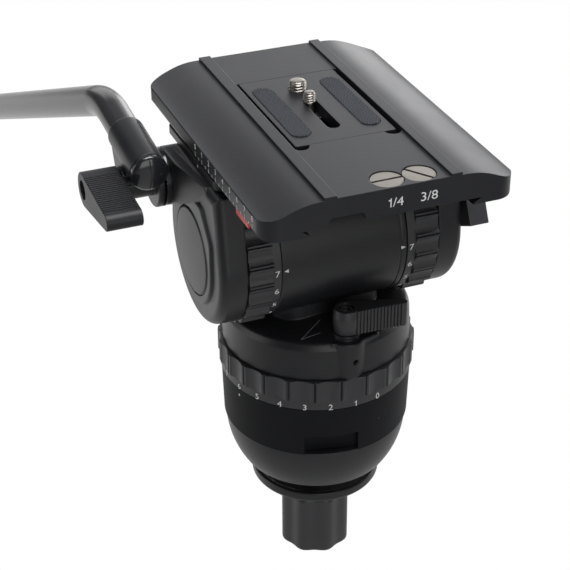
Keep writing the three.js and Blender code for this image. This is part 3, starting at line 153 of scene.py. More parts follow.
# The axes Z, X and Y turned to X, Y and Z, for levers made lying down
Z_TO_X = Matrix(((0, 0, 1, 0), (1, 0, 0, 0), (0, 1, 0, 0), (0, 0, 0, 1)))


def mm(title, text, millimetres):
    """A length in metres whose default is given in millimetres."""
    return bpy.props.FloatProperty(name=title, description=text, default=millimetres * MM, unit="LENGTH")


def turn(title, text, degrees):
    """An angle whose default is given in degrees."""
    return bpy.props.FloatProperty(name=title, description=text, default=radians(degrees), unit="ROTATION")


def part_of(title, text, value):
    """A share from 0 to 1."""
    return bpy.props.FloatProperty(name=title, description=text, default=value, min=0, max=1, subtype="FACTOR")


def ratio(title, text, value):
    """A plain number that may be above 1."""
    return bpy.props.FloatProperty(name=title, description=text, default=value, min=0)


def power(title, text, watts):
    """The power of a lamp."""
    return bpy.props.FloatProperty(name=title, description=text, default=watts, unit="POWER")


def spot(title, text, *millimetres):
    """A place in metres whose default is given in millimetres."""
    place = [length * MM for length in millimetres]
    return bpy.props.FloatVectorProperty(
        name=title, description=text, size=len(place), default=place, unit="LENGTH")


def count(title, text, value):
    """A whole number of repeats."""
    return bpy.props.IntProperty(name=title, description=text, default=value, min=1)


def colour(title, text, value):
    """A linear colour."""
    return bpy.props.FloatVectorProperty(
        name=title, description=text, default=value, min=0, max=1, subtype="COLOR")


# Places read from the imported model

def low_of(node):
    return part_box(node)[0]


def high_of(node):
    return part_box(node)[1]


def box_of(node):
    """The low and high corners of a node's box, and its middle."""
    low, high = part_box(node)
    return low, high, (low + high) / 2


def middle_of(node):
    return box_of(node)[2]


def anchor_of(joint):
    return Vector(JOINT_OF[joint]["pos_m"])


def axis_of(joint):
    return Vector(JOINT_OF[joint]["axis"]).normalized()


# Outlines: closed runs of points in a plane, counter-clockwise

def arc(u, v, radius, start, end, steps=24):
    """Points along an arc, both ends included."""
    angles = [start + (end - start) * i / steps for i in range(steps + 1)]
    return [(u + radius * cos(angle), v + radius * sin(angle)) for angle in angles]


def rounded(corners, steps=6):
    """Points through corners given as (u, v) or (u, v, radius), the latter rounded."""
    made = []
    for i, (u, v, *radius) in enumerate(corners):
        if not radius or radius[0] <= 0:
            made.append((u, v))
            continue
        corner = Vector((u, v))
        before = Vector(corners[i - 1][:2]) - corner
        after = Vector(corners[(i + 1) % len(corners)][:2]) - corner
        reach = radius[0] / tan(before.angle(after) / 2)
        start = corner + before.normalized() * min(reach, before.length / 2)
        end = corner + after.normalized() * min(reach, after.length / 2)
        for k in range(steps + 1):
            t = k / steps
            point = start * (1 - t) ** 2 + corner * 2 * t * (1 - t) + end * t ** 2
            made.append((point.x, point.y))
    return made


def rectangle(u0, v0, u1, v1, corner, steps=8):
    """A rectangle with round corners."""
    return (arc(u1 - corner, v0 + corner, corner, -QUARTER_TURN, 0, steps)
            + arc(u1 - corner, v1 - corner, corner, 0, QUARTER_TURN, steps)
            + arc(u0 + corner, v1 - corner, corner, QUARTER_TURN, HALF_TURN, steps)
            + arc(u0 + corner, v0 + corner, corner, HALF_TURN, 3 * QUARTER_TURN, steps))


def slot_outline(u, v0, v1, radius, steps=20):
    """A slot along the second axis with round ends."""
    return arc(u, v1, radius, 0, HALF_TURN, steps) + arc(u, v0, radius, HALF_TURN, TAU, steps)


def ribs_between(start, end, ribs):
    """Points from start to end with grooves cut in to the left; ribs is (count, depth, fill, from, to)."""
    number, depth, fill, first, last = ribs
    along = Vector(end) - Vector(start)
    inward = Vector((-along.y, along.x)).normalized() * depth
    pitch = (last - first) / number
    made = []
    for rib in range(number):
        at = first + rib * pitch
        groove = pitch * fill
        for place, sunk in ((0, 0), (groove / 4, 1), (3 * groove / 4, 1), (groove, 0)):
            point = Vector(start) + along * (at + place) + inward * sunk
            made.append((point.x, point.y))
    return made


def belt(a, a_radius, b, b_radius, ribs=None, steps=28):
    """The outline of a belt round two circles, the larger one first, with ribs on the side towards -V."""
    along = atan2(b[1] - a[1], b[0] - a[0])
    spread = acos((a_radius - b_radius) / hypot(b[0] - a[0], b[1] - a[1]))
    first = arc(*a, a_radius, along + spread, along - spread + TAU, steps)
    second = arc(*b, b_radius, along - spread, along + spread, steps)
    return first + (ribs_between(first[-1], second[0], ribs) if ribs else []) + second


def distinct(outline):
    """The outline without points that repeat the one before, counter-clockwise."""
    points = [Vector(point) for point in outline]
    kept = [p for i, p in enumerate(points) if (p - points[i - 1]).length > SAME_PLACE]
    area = sum(kept[i - 1].cross(p) for i, p in enumerate(kept))
    return kept if area > 0 else kept[::-1]


def inset(outline, distance):
    """The outline moved inward, each corner along its bisector; a negative distance moves it outward."""
    moved = []
    for i, point in enumerate(outline):
        before = (point - outline[i - 1]).normalized()
        after = (outline[(i + 1) % len(outline)] - point).normalized()
        first = Vector((-before.y, before.x))
        second = Vector((-after.y, after.x))
        bisector = (first + second).normalized()
        moved.append(point + bisector * distance / max(bisector.dot(first), SHARPEST))
    return moved


class Form:
    """A closed mesh in the part's frame. Forms join and cut each other, and end as pieces."""

    def __init__(self, mesh, axis="z", at=(0, 0, 0)):
        for vertex in mesh.verts:
            u, v, w = vertex.co
            vertex.co = Vector(at) + Vector({"x": (w, u, v), "y": (u, w, v), "z": (u, v, w)}[axis])
        bmesh.ops.recalc_face_normals(mesh, faces=mesh.faces)
        data = bpy.data.meshes.new("form")
        mesh.to_mesh(data)
        mesh.free()
        self.obj = bpy.data.objects.new("form", data)
        bpy.context.scene.collection.objects.link(self.obj)

    def moved(self, matrix):
        self.obj.data.transform(matrix)
        return self

    def combined(self, operation, others):
        for other in others:
            modifier = self.obj.modifiers.new("combine", "BOOLEAN")
            modifier.operation = operation
            modifier.solver = "EXACT"
            modifier.object = other.obj
        bpy.context.view_layer.update()
        shown = self.obj.evaluated_get(bpy.context.evaluated_depsgraph_get())
        data = bpy.data.meshes.new_from_object(shown)
        self.obj.modifiers.clear()
        old = self.obj.data
        self.obj.data = data
        bpy.data.meshes.remove(old)
        for other in others:
            other.discard()
        return self

    def discard(self):
        data = self.obj.data
        bpy.data.objects.remove(self.obj)
        bpy.data.meshes.remove(data)

    def join(self, *others):
        return self.combined("UNION", others)

    def cut(self, *others):
        return self.combined("DIFFERENCE", others)

    def keep(self, *others):
        return self.combined("INTERSECT", others)

    def piece(self, name, *nodes, finish=None, crease=28, body=None):
        """Names the form, gives it its finish and lets it stand for its nodes."""
        node = nodes[0] if nodes else None
        slot = SLOT_OF[node] if node else "satin_black"
        obj = self.obj
        obj.name = name
        obj.data.name = name
        obj.data.materials.clear()
        obj.data.materials.append(finish_of(finish or slot))
        obj.data.shade_smooth()
        obj.data.set_sharp_from_angle(angle=radians(crease))
        modifier = obj.modifiers.new("flat_faces_first", "WEIGHTED_NORMAL")
        modifier.keep_sharp = True
        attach(obj, body or BODY_OF[node])
        if node:
            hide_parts(*nodes)
        return obj


def lathe(profile, sides=ROUND_SIDES, axis="z", at=(0, 0, 0), shape=None):
    """A turned form from (radius, height) points that start and end on the axis, or that close.
    shape(angle, radius, height) gives the radius and height of one point where the form isn't round."""
    mesh = bmesh.new()
    rings = []
    for radius, height in profile:
        if radius == 0:
            rings.append([mesh.verts.new((0, 0, height))] * sides)
            continue
        ring = []
        for i in range(sides):
            angle = TAU * i / sides
            r, h = shape(angle, radius, height) if shape else (radius, height)
            ring.append(mesh.verts.new((r * cos(angle), r * sin(angle), h)))
        rings.append(ring)
    pairs = list(zip(rings, rings[1:]))
    if profile[0][0] != 0:
        pairs.append((rings[-1], rings[0]))
    for low, high in pairs:
        for i in range(sides):
            j = (i + 1) % sides
            corners = list(dict.fromkeys([low[i], low[j], high[j], high[i]]))
            if len(corners) > 2:
                mesh.faces.new(corners)
    return Form(mesh, axis, at)


def spun(corners, sides=ROUND_SIDES, axis="z", at=(0, 0, 0), shape=None, steps=6):
    """A turned form from corners given as (radius, height) or (radius, height, round)."""
    return lathe(rounded(corners, steps), sides, axis, at, shape)


def rod(radius, low, high, sides=SMALL_SIDES, axis="z", at=(0, 0, 0)):
    return lathe([(0, low), (radius, low), (radius, high), (0, high)], sides, axis, at)


def shank_room(node, low, high):
    """Room for the shank of an upright socket screw between two levels."""
    at = middle_of(node)
    return rod((high_of(node).x - at.x) * SCREW_SHANK_SHARE + GAP, low, high, at=(at.x, at.y, 0))


def along_x(form, at, angle):
    """Lays a form made along Z on the X axis, its arm turned by an angle from the Y axis."""
    return form.moved(Matrix.Translation(at) @ Z_TO_X @ Matrix.Rotation(angle, 4, "Z"))


def skin(mesh, rings):
    """Faces between rings of points, and one over each end."""
    for near, far in zip(rings, rings[1:]):
        for i in range(len(near)):
            mesh.faces.new((near[i - 1], near[i], far[i], far[i - 1]))
    mesh.faces.new(rings[0][::-1])
    mesh.faces.new(rings[-1])


def prism(outline, low, high, axis="z", at=(0, 0, 0), edges=(0, 0), steps=4):
    """An outline given depth, its low and high edges rounded by the two radii."""
    outline = distinct(outline)
    layers = []
    for level, radius, sign in ((low, edges[0], 1), (high, edges[1], -1)):
        angles = [QUARTER_TURN * k / steps for k in range(steps + 1)] if radius else [QUARTER_TURN]
        made = []
        for angle in angles:
            sunk = radius * (1 - sin(angle))
            made.append((inset(outline, sunk) if sunk else outline, level + sign * radius * (1 - cos(angle))))
        layers += made if sign > 0 else made[::-1]
    mesh = bmesh.new()
    skin(mesh, [[mesh.verts.new((p.x, p.y, level)) for p in points] for points, level in layers])
    return Form(mesh, axis, at)


def block(low, high, edge=0):
    """A box, its edges rounded all round where edge is given."""
    mesh = bmesh.new()
    bmesh.ops.create_cube(mesh, size=1)
    low, high = Vector(low), Vector(high)
    for vertex in mesh.verts:
        vertex.co = (low + high) / 2 + Vector(c * s for c, s in zip(vertex.co, high - low))
    if edge:
        bmesh.ops.bevel(mesh, geom=mesh.edges, offset=edge, segments=3, profile=0.5, affect="EDGES")
    return Form(mesh)


def sweep(points, tangents, radius, sides=SMALL_SIDES):
    """A round bar along points in a plane where X is constant, with flat ends."""
    mesh = bmesh.new()
    rings = []
    for point, tangent in zip(points, tangents):
        side = Vector((1, 0, 0))
        up = tangent.cross(side).normalized()
        ring = []
        for i in range(sides):
            angle = TAU * i / sides
            ring.append(mesh.verts.new(point + side * radius * cos(angle) + up * radius * sin(angle)))
        rings.append(ring)
    skin(mesh, rings)
    return Form(mesh)


def thread(radius, pitch, depth):
    """Shape of a screw thread, for lathe: the radius falls and rises once a pitch."""
    def shape(angle, r, height):
        if abs(r - radius) > depth / 2:
            return r, height
        phase = (height / pitch - angle / TAU) % 1
        return r - depth * (1 - abs(2 * phase - 1)), height
    return shape


def thread_rows(radius, low, high, pitch, rows=8):
    """Profile points close enough together to carry a thread."""
    steps = max(2, round((high - low) / pitch * rows))
    return [(radius, low + (high - low) * i / steps) for i in range(steps + 1)]


# Shaders

class Wire:
    """A number that flows through a shader. Arithmetic on it adds Math nodes."""

    def __init__(self, shader, socket):
        self.shader = shader
        self.socket = socket

    def __add__(self, other):
        return self.shader.maths("ADD", self, other)

    def __sub__(self, other):
        return self.shader.maths("SUBTRACT", self, other)

    def __rsub__(self, other):
        return self.shader.maths("SUBTRACT", other, self)

    def __mul__(self, other):
        return self.shader.maths("MULTIPLY", self, other)

    __radd__ = __add__
    __rmul__ = __mul__

    def below(self, other):
        return self.shader.maths("LESS_THAN", self, other)


class Shader:
    """A material or a world being wired."""

    def __init__(self, owner):
        self.owner = owner
        owner.use_nodes = True
        self.tree = owner.node_tree
        self.tree.nodes.clear()

    def node(self, kind, settings, inputs, output):
        """Adds a node with its settings, then its socket values or links, and returns one output."""
        node = self.tree.nodes.new(kind)
        for key, value in settings.items():
            setattr(node, key, value)
        for key, value in inputs.items():
            if isinstance(key, int):
                socket = node.inputs[key]
            else:
                socket = next(s for s in node.inputs if s.name == key and s.enabled)
            if isinstance(value, Wire):
                self.tree.links.new(value.socket, socket)
            else:
                socket.default_value = value
        return Wire(self, next(s for s in node.outputs if s.name == output and s.enabled))

    def end(self, surface, kind="Material"):
        """Leads the surface to the output node."""
        output = self.tree.nodes.new("ShaderNodeOutput" + kind)
        self.tree.links.new(surface.socket, output.inputs["Surface"])
        return self.owner

    def maths(self, operation, *values):
        return self.node("ShaderNodeMath", {"operation": operation}, dict(enumerate(values)), "Value")

    def place(self):
        return self.node("ShaderNodeTexCoord", {}, {}, "Object")

    def noise(self, scale, detail=2.0, roughness=0.5):
        inputs = {"Vector": self.place(), "Scale": scale, "Detail": detail, "Roughness": roughness}
        return self.node("ShaderNodeTexNoise", {}, inputs, "Fac")

    def mix(self, factor, first, second):
        """Blends two colours, of which either may be a wire."""
        first, second = (tone if isinstance(tone, Wire) else (*tone, 1) for tone in (first, second))
        inputs = {"Factor": factor, "A": first, "B": second}
        return self.node("ShaderNodeMix", {"data_type": "RGBA"}, inputs, "Result")

    def cloudy(self, factor, tone, darkest, lightest):
        """A tone that varies between two shares of itself."""
        return self.mix(factor, [c * darkest for c in tone], [min(c * lightest, 1) for c in tone])

    def round_edges(self, radius):
        return self.node("ShaderNodeBevel", {"samples": 6}, {"Radius": radius}, "Normal")

    def bump(self, height, distance, strength, normal):
        inputs = {"Height": height, "Distance": distance, "Strength": strength, "Normal": normal}
        return self.node("ShaderNodeBump", {}, inputs, "Normal")

    def surface(self, **inputs):
        """Ends the material in a Principled shader; underscores in the names stand for spaces."""
        named = {key.replace("_", " "): value for key, value in inputs.items()}
        return self.end(self.node("ShaderNodeBsdfPrincipled", {}, named, "BSDF"))


# Specks of dust: cells to a metre and the radius of a speck in its cell
DUST_CELLS = 70
DUST_RADIUS = 0.011

# Dark finishes: tone, its share, roughness, metal, grains to a metre, their depth in millimetres, edge and its
# share
DARK_FINISHES = {
    "satin_black": ("satin", 1, 0.36, 0, 1500, 0.03, "edge", 1, {}),
    "cast_black": ("satin", 1, 0.38, 0, 1300, 0.05, "cast_edge", 1, {}),
    "gloss_black": ("satin", 1, 0.2, 0, 500, 0.01, "edge", 1, {"coat": 0.5, "coat_roughness": 0.08}),
    "anodised_black": ("anodised", 1, 0.4, 0.35, 1800, 0.02, "edge", 1, {}),
    "disc_black": ("disc", 1, 0.42, 0.35, 1800, 0.02, "edge", 1, {}),
    "moulded_black": ("moulded", 1, 0.42, 0, 1700, 0.03, "edge", 0.5, {"level": 0.65}),
    "knob_black": ("satin", 1, 0.45, 0, 1700, 0.03, "edge", 0.5, {"level": 0.4}),
    # The bar's grey is lighter than the tube's own black: painted sheen for the white reflections along it
    "bar_grey": ("bar", 1, 0.24, 0.55, 1500, 0.004, "edge", 0, {"uneven": 0.3}),
    # Satin paint made darker and duller: painted shade on the drum at the foot of the head, and on the set screw
    # sunk in its hole
    "drum_black": ("satin", 0.75, 0.55, 0, 1300, 0.05, "edge", 1, {"level": 0.12}),
}


class FinishSizes(bpy.types.PropertyGroup):
    satin: colour("Satin black", "Painted alloy of the housing, ears and platform", (0.0135, 0.014, 0.0165))
    anodised: colour("Anodised black", "Blasted and anodised plates and discs", (0.021, 0.0215, 0.026))
    moulded: colour("Moulded black", "Plastic of the rings, levers and knobs", (0.028, 0.0285, 0.032))
    disc: colour("Disc black", "Anodised cover discs of the ears", (0.045, 0.045, 0.048))
    # Lighter than the tube's own black: painted sheen for the white reflections along the bar
    bar: colour("Bar grey", "Anodised tube of the handle", (0.07, 0.07, 0.074))
    # Light grey of the dome's two fine lines: a painted highlight along edges of the dome
    scribed: colour("Scribed", "Bare lines of the scribed mark", (0.3, 0.3, 0.31))
    rubber: colour("Rubber", "Camera pads and handle grip", COLOUR_OF["pad_rubber"])
    nickel: colour("Nickel", "Camera screws and spares", COLOUR_OF["nickel"])
    steel: colour("Steel", "Socket screws, rod and axles", COLOUR_OF["steel"])
    bronze: colour("Bronze", "Bearings and rotor", COLOUR_OF["bronze"])
    red: colour("Red", "Release button", COLOUR_OF["red_plastic"])
    level: colour("Level green", "Fluid of the level", COLOUR_OF["level_glass"])
    print: colour("Print", "White numbers and marks", (0.93, 0.92, 0.9))
    dust: colour("Dust", "Specks on the dark surfaces", (0.35, 0.35, 0.36))
    edge: mm("Edge softness", "Radius that catches light along every edge", 0.45)
    cast_edge: mm("Cast softness", "Radius of the cast pieces' corners", 1.4)


def dark_finish(
        name, tone, roughness, metal, grain, depth, edge, coat=0, coat_roughness=0.3, level=0.5, uneven=1):
    """Black finish: fine grain, slow changes of tone and gloss, a little dust."""
    sizes = bpy.context.scene.head_finish
    shader = Shader(bpy.data.materials.new(name))
    cloud = shader.noise(45, 3)
    fine = shader.noise(grain, 2, 0.6)
    base = shader.cloudy(cloud, tone, 1 - 0.22 * uneven, 1 + 0.25 * uneven)
    inputs = {"Vector": shader.place(), "Scale": DUST_CELLS}
    cells = shader.node("ShaderNodeTexVoronoi", {}, inputs, "Distance")
    base = shader.mix(cells.below(DUST_RADIUS), base, sizes.dust)
    normal = shader.bump(fine, depth, 0.6, shader.round_edges(edge))
    gloss = roughness + (cloud * 0.08 + fine * 0.06 - 0.06) * uneven
    return shader.surface(
        Base_Color=base, Roughness=gloss, Metallic=metal, Normal=normal, Coat_Weight=coat,
        Coat_Roughness=coat_roughness, Specular_IOR_Level=level)


def metal_finish(name, tone, roughness, scratch):
    """Turned metal: rings of fine tool marks and patches of duller plating."""
    sizes = bpy.context.scene.head_finish
    shader = Shader(bpy.data.materials.new(name))
    patches = shader.noise(220, 4)
    fine = shader.noise(scratch, 2, 0.7)
    base = shader.cloudy(patches, tone, 0.8, 1.12)
    normal = shader.bump(fine, 0.02 * MM, 0.5, shader.round_edges(sizes.edge / 2))
    gloss = roughness - 0.05 + patches * 0.1 + fine * 0.05
    return shader.surface(Base_Color=base, Roughness=gloss, Metallic=1.0, Normal=normal)


def rubber_finish(name, tone):
    """Matt rubber with a soft grain."""
    shader = Shader(bpy.data.materials.new(name))
    cloud = shader.noise(160, 3)
    fine = shader.noise(2600, 2)
    base = shader.cloudy(cloud, tone, 0.8, 1.3)
    normal = shader.bump(fine, 0.03 * MM, 0.5, shader.round_edges(0.2 * MM))
    return shader.surface(Base_Color=base, Roughness=0.72 + fine * 0.12, Normal=normal, Sheen_Weight=0.15)


def plain_finish(name, tone, roughness, grain, **more):
    """Coloured plastic or print with a slight unevenness."""
    shader = Shader(bpy.data.materials.new(name))
    cloud = shader.noise(grain, 3)
    base = shader.cloudy(cloud, tone, 0.86, 1.1)
    normal = shader.bump(cloud, 0.01 * MM, 0.4, shader.round_edges(0.25 * MM))
    return shader.surface(Base_Color=base, Roughness=roughness - 0.05 + cloud * 0.1, Normal=normal, **more)


def finish_of(name):
    """The material of a finish, made when it is first asked for."""
    label = "finish_" + name
    made = bpy.data.materials.get(label)
    if made:
        return made
    sizes = bpy.context.scene.head_finish
    if name in DARK_FINISHES:
        tone, share, roughness, metal, grain, depth, edge, edge_share, more = DARK_FINISHES[name]
        tone = [c * share for c in getattr(sizes, tone)]
        edge = getattr(sizes, edge) * edge_share
        return dark_finish(label, tone, roughness, metal, grain, depth * MM, edge, **more)
    makers = {
        # The dome's two lines: light grey as a painted highlight
        "scribed": lambda: plain_finish(label, sizes.scribed, 0.5, 900),
        "pad_rubber": lambda: rubber_finish(label, sizes.rubber),
        "nickel": lambda: metal_finish(label, [c * 0.6 for c in sizes.nickel], 0.34, 1200),
        "steel": lambda: metal_finish(label, sizes.steel, 0.34, 900),
        "bronze": lambda: metal_finish(label, sizes.bronze, 0.4, 900),
        "red_plastic": lambda: plain_finish(label, sizes.red, 0.4, 300),
        "level_glass": lambda: plain_finish(
            label, sizes.level, 0.12, 200, Coat_Weight=1.0, Coat_Roughness=0.03),
        "white_print": lambda: plain_finish(label, sizes.print, 0.6, 900),
    }
    return makers[name]()


# In what follows, dim is the group of sizes for the pieces at hand

# Base

class BaseSizes(bpy.types.PropertyGroup):
    taper: mm("Drum taper", "Growth of the drum to its top", 0.9)
    edge: mm("Drum edge", "Round of the drum's upper edge", 0.7)
    bore: mm("Axle bore", "Radius of the axle's hole", 8.3)
    neck_land: mm("Neck land", "Reach of the neck past the bearing", 0.5)
    notch_width: mm("Notch width", "Width of the drum's foot recess", 29)
    notch_height: mm("Notch height", "Height of the recess", 12.4)
    notch_depth: mm("Notch depth", "Depth of the recess", 6)
    notch_corner: mm("Notch corner", "Round of its upper corners", 1)
    notch_turn: turn("Notch turn", "Its place round the pan axis", -12.5)
    ball_wall: mm("Ball wall", "Wall of the half ball at its rim", 6)
    ball_plate: mm("Ball plate", "Thickness of its flat top", 9)
    ball_hub: mm("Ball hub", "Radius of the boss round the tie rod", 14)
    rod_pitch: mm("Rod pitch", "Pitch of the tie rod's thread", 1.75)
    cup_dish: mm("Cup dish", "Depth of the cup's hollow face and width of its rim", 3)
    cup_edge: mm("Cup edge", "Round of the cup's edges", 1)
    knob_neck: mm("Knob neck", "Radius of the knob's plain neck", 13)
    knob_neck_height: mm("Knob neck height", "Height of the neck", 6.5)
    knob_edge: mm("Knob edge", "Round of the knob's ends", 2.5)
    knob_lobe: mm("Knob lobe", "Depth between the knob's lobes", 1.6)
    knob_lobes: count("Knob lobes", "Lobes round the knob", 8)


def ball_screw_holes(dim):
    """Room for the screws that hold the ball and the drum together."""
    return [shank_room(node, -dim.ball_plate - OVERRUN, high_of(node).z + GAP) for node in BASE_SCREWS]


def half_ball(dim):
    low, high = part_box("half_ball")
    reach = asin(-low.z / high.x)
    bore = high_of("tie_rod").x + GAP
    inner = high.x * cos(reach) - dim.ball_wall
    curve = arc(0, 0, high.x, 0, -reach, 28)
    ball = spun([
        (bore, 0), *curve, (inner, low.z, dim.cup_edge), (inner, -dim.ball_plate, dim.cup_edge * 2),
        (dim.ball_hub, -dim.ball_plate, dim.cup_edge), (dim.ball_hub, low.z), (bore, low.z)], FINE_SIDES)
    ball.cut(*ball_screw_holes(dim)).piece("ball_shell", "half_ball")


class HEAD_OT_base(bpy.types.Operator):
    """Drum with its foot recess, and the half ball that sits in the bowl"""
    bl_idname = "head.base"
    bl_label = "Base"

    def execute(self, context):
        dim = context.scene.head_base
        foot, neck_top = low_of("base_drum").z, high_of("base_drum").z
        top = low_of("pan_drag_ring").z - GAP
        wide = high_of("base_drum").x
        narrow = wide - dim.taper
        neck = high_of("pan_thrust_bearing").x + dim.neck_land
        cavity = high_of("pan_damper_cup").x + GAP
        floor = low_of("pan_damper_cup").z
        drum = spun([
            (dim.bore, foot), (narrow, foot, dim.edge / 2), (wide, top, dim.edge), (neck, top),
            (neck, neck_top), (cavity, neck_top), (cavity, floor), (dim.bore, floor)], FINE_SIDES)
        half = dim.notch_width / 2
        shape = rounded([(-half, -OVERRUN), (half, -OVERRUN), (half, dim.notch_height, dim.notch_corner),
                         (-half, dim.notch_height, dim.notch_corner)])
        notch = prism(shape, -narrow - dim.notch_depth, dim.notch_depth - narrow, "y")
        drum.cut(notch.moved(Matrix.Rotation(dim.notch_turn, 4, "Z")), *ball_screw_holes(dim))
        # The drum's finish is darkened as painted shade
        drum.piece("drum_shell", "base_drum", finish="drum_black")
        half_ball(dim)
        return {"FINISHED"}


def lobed_knob(dim, bore):
    low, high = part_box("tie_down_knob")
    radius, neck, edge = high.x, dim.knob_neck, dim.knob_edge
    shoulder = high.z - dim.knob_neck_height
    floor = low.z + 2 * edge

    def lobes(angle, r, height):
        grip = max(0.0, (r - neck) / (radius - neck))
        return r - grip * dim.knob_lobe * (1 - cos(dim.knob_lobes * angle)) / 2, height

    spun([
        (0, low.z + edge / 2), (radius / 2, low.z + edge / 2, edge), (radius / 2 + edge, low.z, edge),
        (radius, low.z, edge), (radius, shoulder, edge), (neck, shoulder + edge / 2, edge), (neck, high.z),
        (bore, high.z), (bore, floor), (0, floor)],
        FINE_SIDES, shape=lobes, steps=8).piece("lobed_knob", "tie_down_knob")


class HEAD_OT_tie_down(bpy.types.Operator):
    """Threaded rod, dished cup and lobed knob under the bowl"""
    bl_idname = "head.tie_down"
    bl_label = "Tie-down"

    def execute(self, context):
        dim = context.scene.head_base
        low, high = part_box("tie_rod")
        depth = dim.rod_pitch / 2
        top = high.z - GAP
        rows = thread_rows(high.x, low.z + depth, top, dim.rod_pitch)
        profile = [(0, low.z), (high.x - depth, low.z), *rows, (high.x - depth, top), (0, top)]
        form = lathe(profile, SMALL_SIDES, shape=thread(high.x, dim.rod_pitch, depth))
        form.piece("threaded_rod", "tie_rod")
        bore = high.x + GAP
        low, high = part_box("tie_down_cup")
        top = high.z - dim.cup_dish
        inner = high.x - dim.cup_dish
        edge = dim.cup_edge
        spun([
            (bore, top), (inner, top, edge), (inner, high.z, edge), (high.x, high.z, edge),
            (high.x, (low.z + high.z) / 2, 3 * edge), (dim.knob_neck, low.z, edge), (bore, low.z)],
            FINE_SIDES).piece("dished_cup", "tie_down_cup")
        lobed_knob(dim, bore)
        return {"FINISHED"}


# Drag rings

class RingSizes(bpy.types.PropertyGroup):
    flutes: count("Flutes", "Flutes round a ring", 24)
    ridge: part_of("Ridge pair", "Half a pair of ridges, as a share of the pitch", 0.125)
    groove_width: part_of("Groove width", "Half the groove between two ridges, likewise", 0.04)
    groove: mm("Groove", "Depth of that groove", 1.1)
    step: part_of("Step", "From a ridge's edge to the hollow, likewise", 0.045)
    hollow: mm("Hollow", "How far the hollow's middle lies below its sides", 1.2)
    edge: mm("Edge", "Round of the ring's edges", 0.5)
    pan_band: mm("Pan band radius", "Radius of the pan ring's number band", 52.2)
    pan_band_height: mm("Pan band height", "Height of that band", 5.2)
    pan_grip: mm("Pan grip radius", "Radius over the pan ring's ridges", 53.5)
    pan_depth: mm("Pan flute depth", "Depth of the pan ring's flutes", 1.45)
    pan_turn: turn("Pan ring turn", "Place of a pair of ridges, from the X axis", 7.1)
    tilt_band: mm("Tilt band radius", "Radius of the tilt rings' number bands", 40.7)
    tilt_band_height: mm("Tilt band height", "Width of those bands", 4.4)
    tilt_grip: mm("Tilt grip radius", "Radius over the tilt rings' ridges", 42.4)
    tilt_depth: mm("Tilt flute depth", "Depth of the tilt rings' flutes", 1.75)
    tilt_turn: turn("Tilt ring turn", "Place of a pair of ridges, from the Y axis", 7.5)


def ring_form(dim, kind, bore, low, high, sign=1, flip=False, axis="z", at=(0, 0, 0)):
    """A drag ring between two levels: its number band at the low end, or at the high end when flipped, and its
    grip with wide hollow flutes between pairs of narrow ridges."""
    band, band_height, grip, depth, start = (
        getattr(dim, f"{kind}_{part}") for part in ("band", "band_height", "grip", "depth", "turn"))

    def fluted(angle, r, height):
        proud = max(0.0, (r - band) / (grip - band))
        if not proud:
            return r, height
        place = (angle - sign * start) / TAU * dim.flutes
        away = abs(place - round(place))
        if away < dim.ridge:
            sunk = dim.groove * max(0.0, 1 - away / dim.groove_width)
        else:
            down = min(1.0, (away - dim.ridge) / dim.step)
            across = (away - dim.ridge) / (0.5 - dim.ridge)
            sunk = (depth - dim.hollow) * down + dim.hollow * sin(QUARTER_TURN * across)
        return r - proud * sunk, height

    step, edge = low + band_height, dim.edge
    points = rounded([
        (bore, low), (band, low, edge / 2), (band, step), (grip, step, edge / 3), (grip, high, edge),
        (bore, high)], 4)
    if flip:
        points = [(r, low + high - h) for r, h in points]
    return lathe(points, dim.flutes * FLUTE_STEPS, axis, at, fluted)


class HEAD_OT_rings(bpy.types.Operator):
    """Pan drag ring, tilt drag ring and counterbalance ring"""
    bl_idname = "head.rings"
    bl_label = "Drag rings"

    def execute(self, context):
        dim = context.scene.head_rings
        low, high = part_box("pan_drag_ring")
        bore = high_of("pan_thrust_bearing").x + context.scene.head_base.neck_land + GAP
        ring_form(dim, "pan", bore, low.z, high.z).piece("pan_ring", "pan_drag_ring", crease=24)
        axis = middle_of("tilt_axle")
        bore = high_of("tilt_damper").z - axis.z - RING_SEAT
        for name, node in (("tilt_ring", "tilt_drag_ring"), ("spring_ring", "counterbalance_ring")):
            low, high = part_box(node)
            ring = ring_form(dim, "tilt", bore, low.x, high.x, -1, high.x < axis.x, "x", (0, axis.y, axis.z))
            ring.piece(name, node, crease=24)
        return {"FINISHED"}


# Pan housing

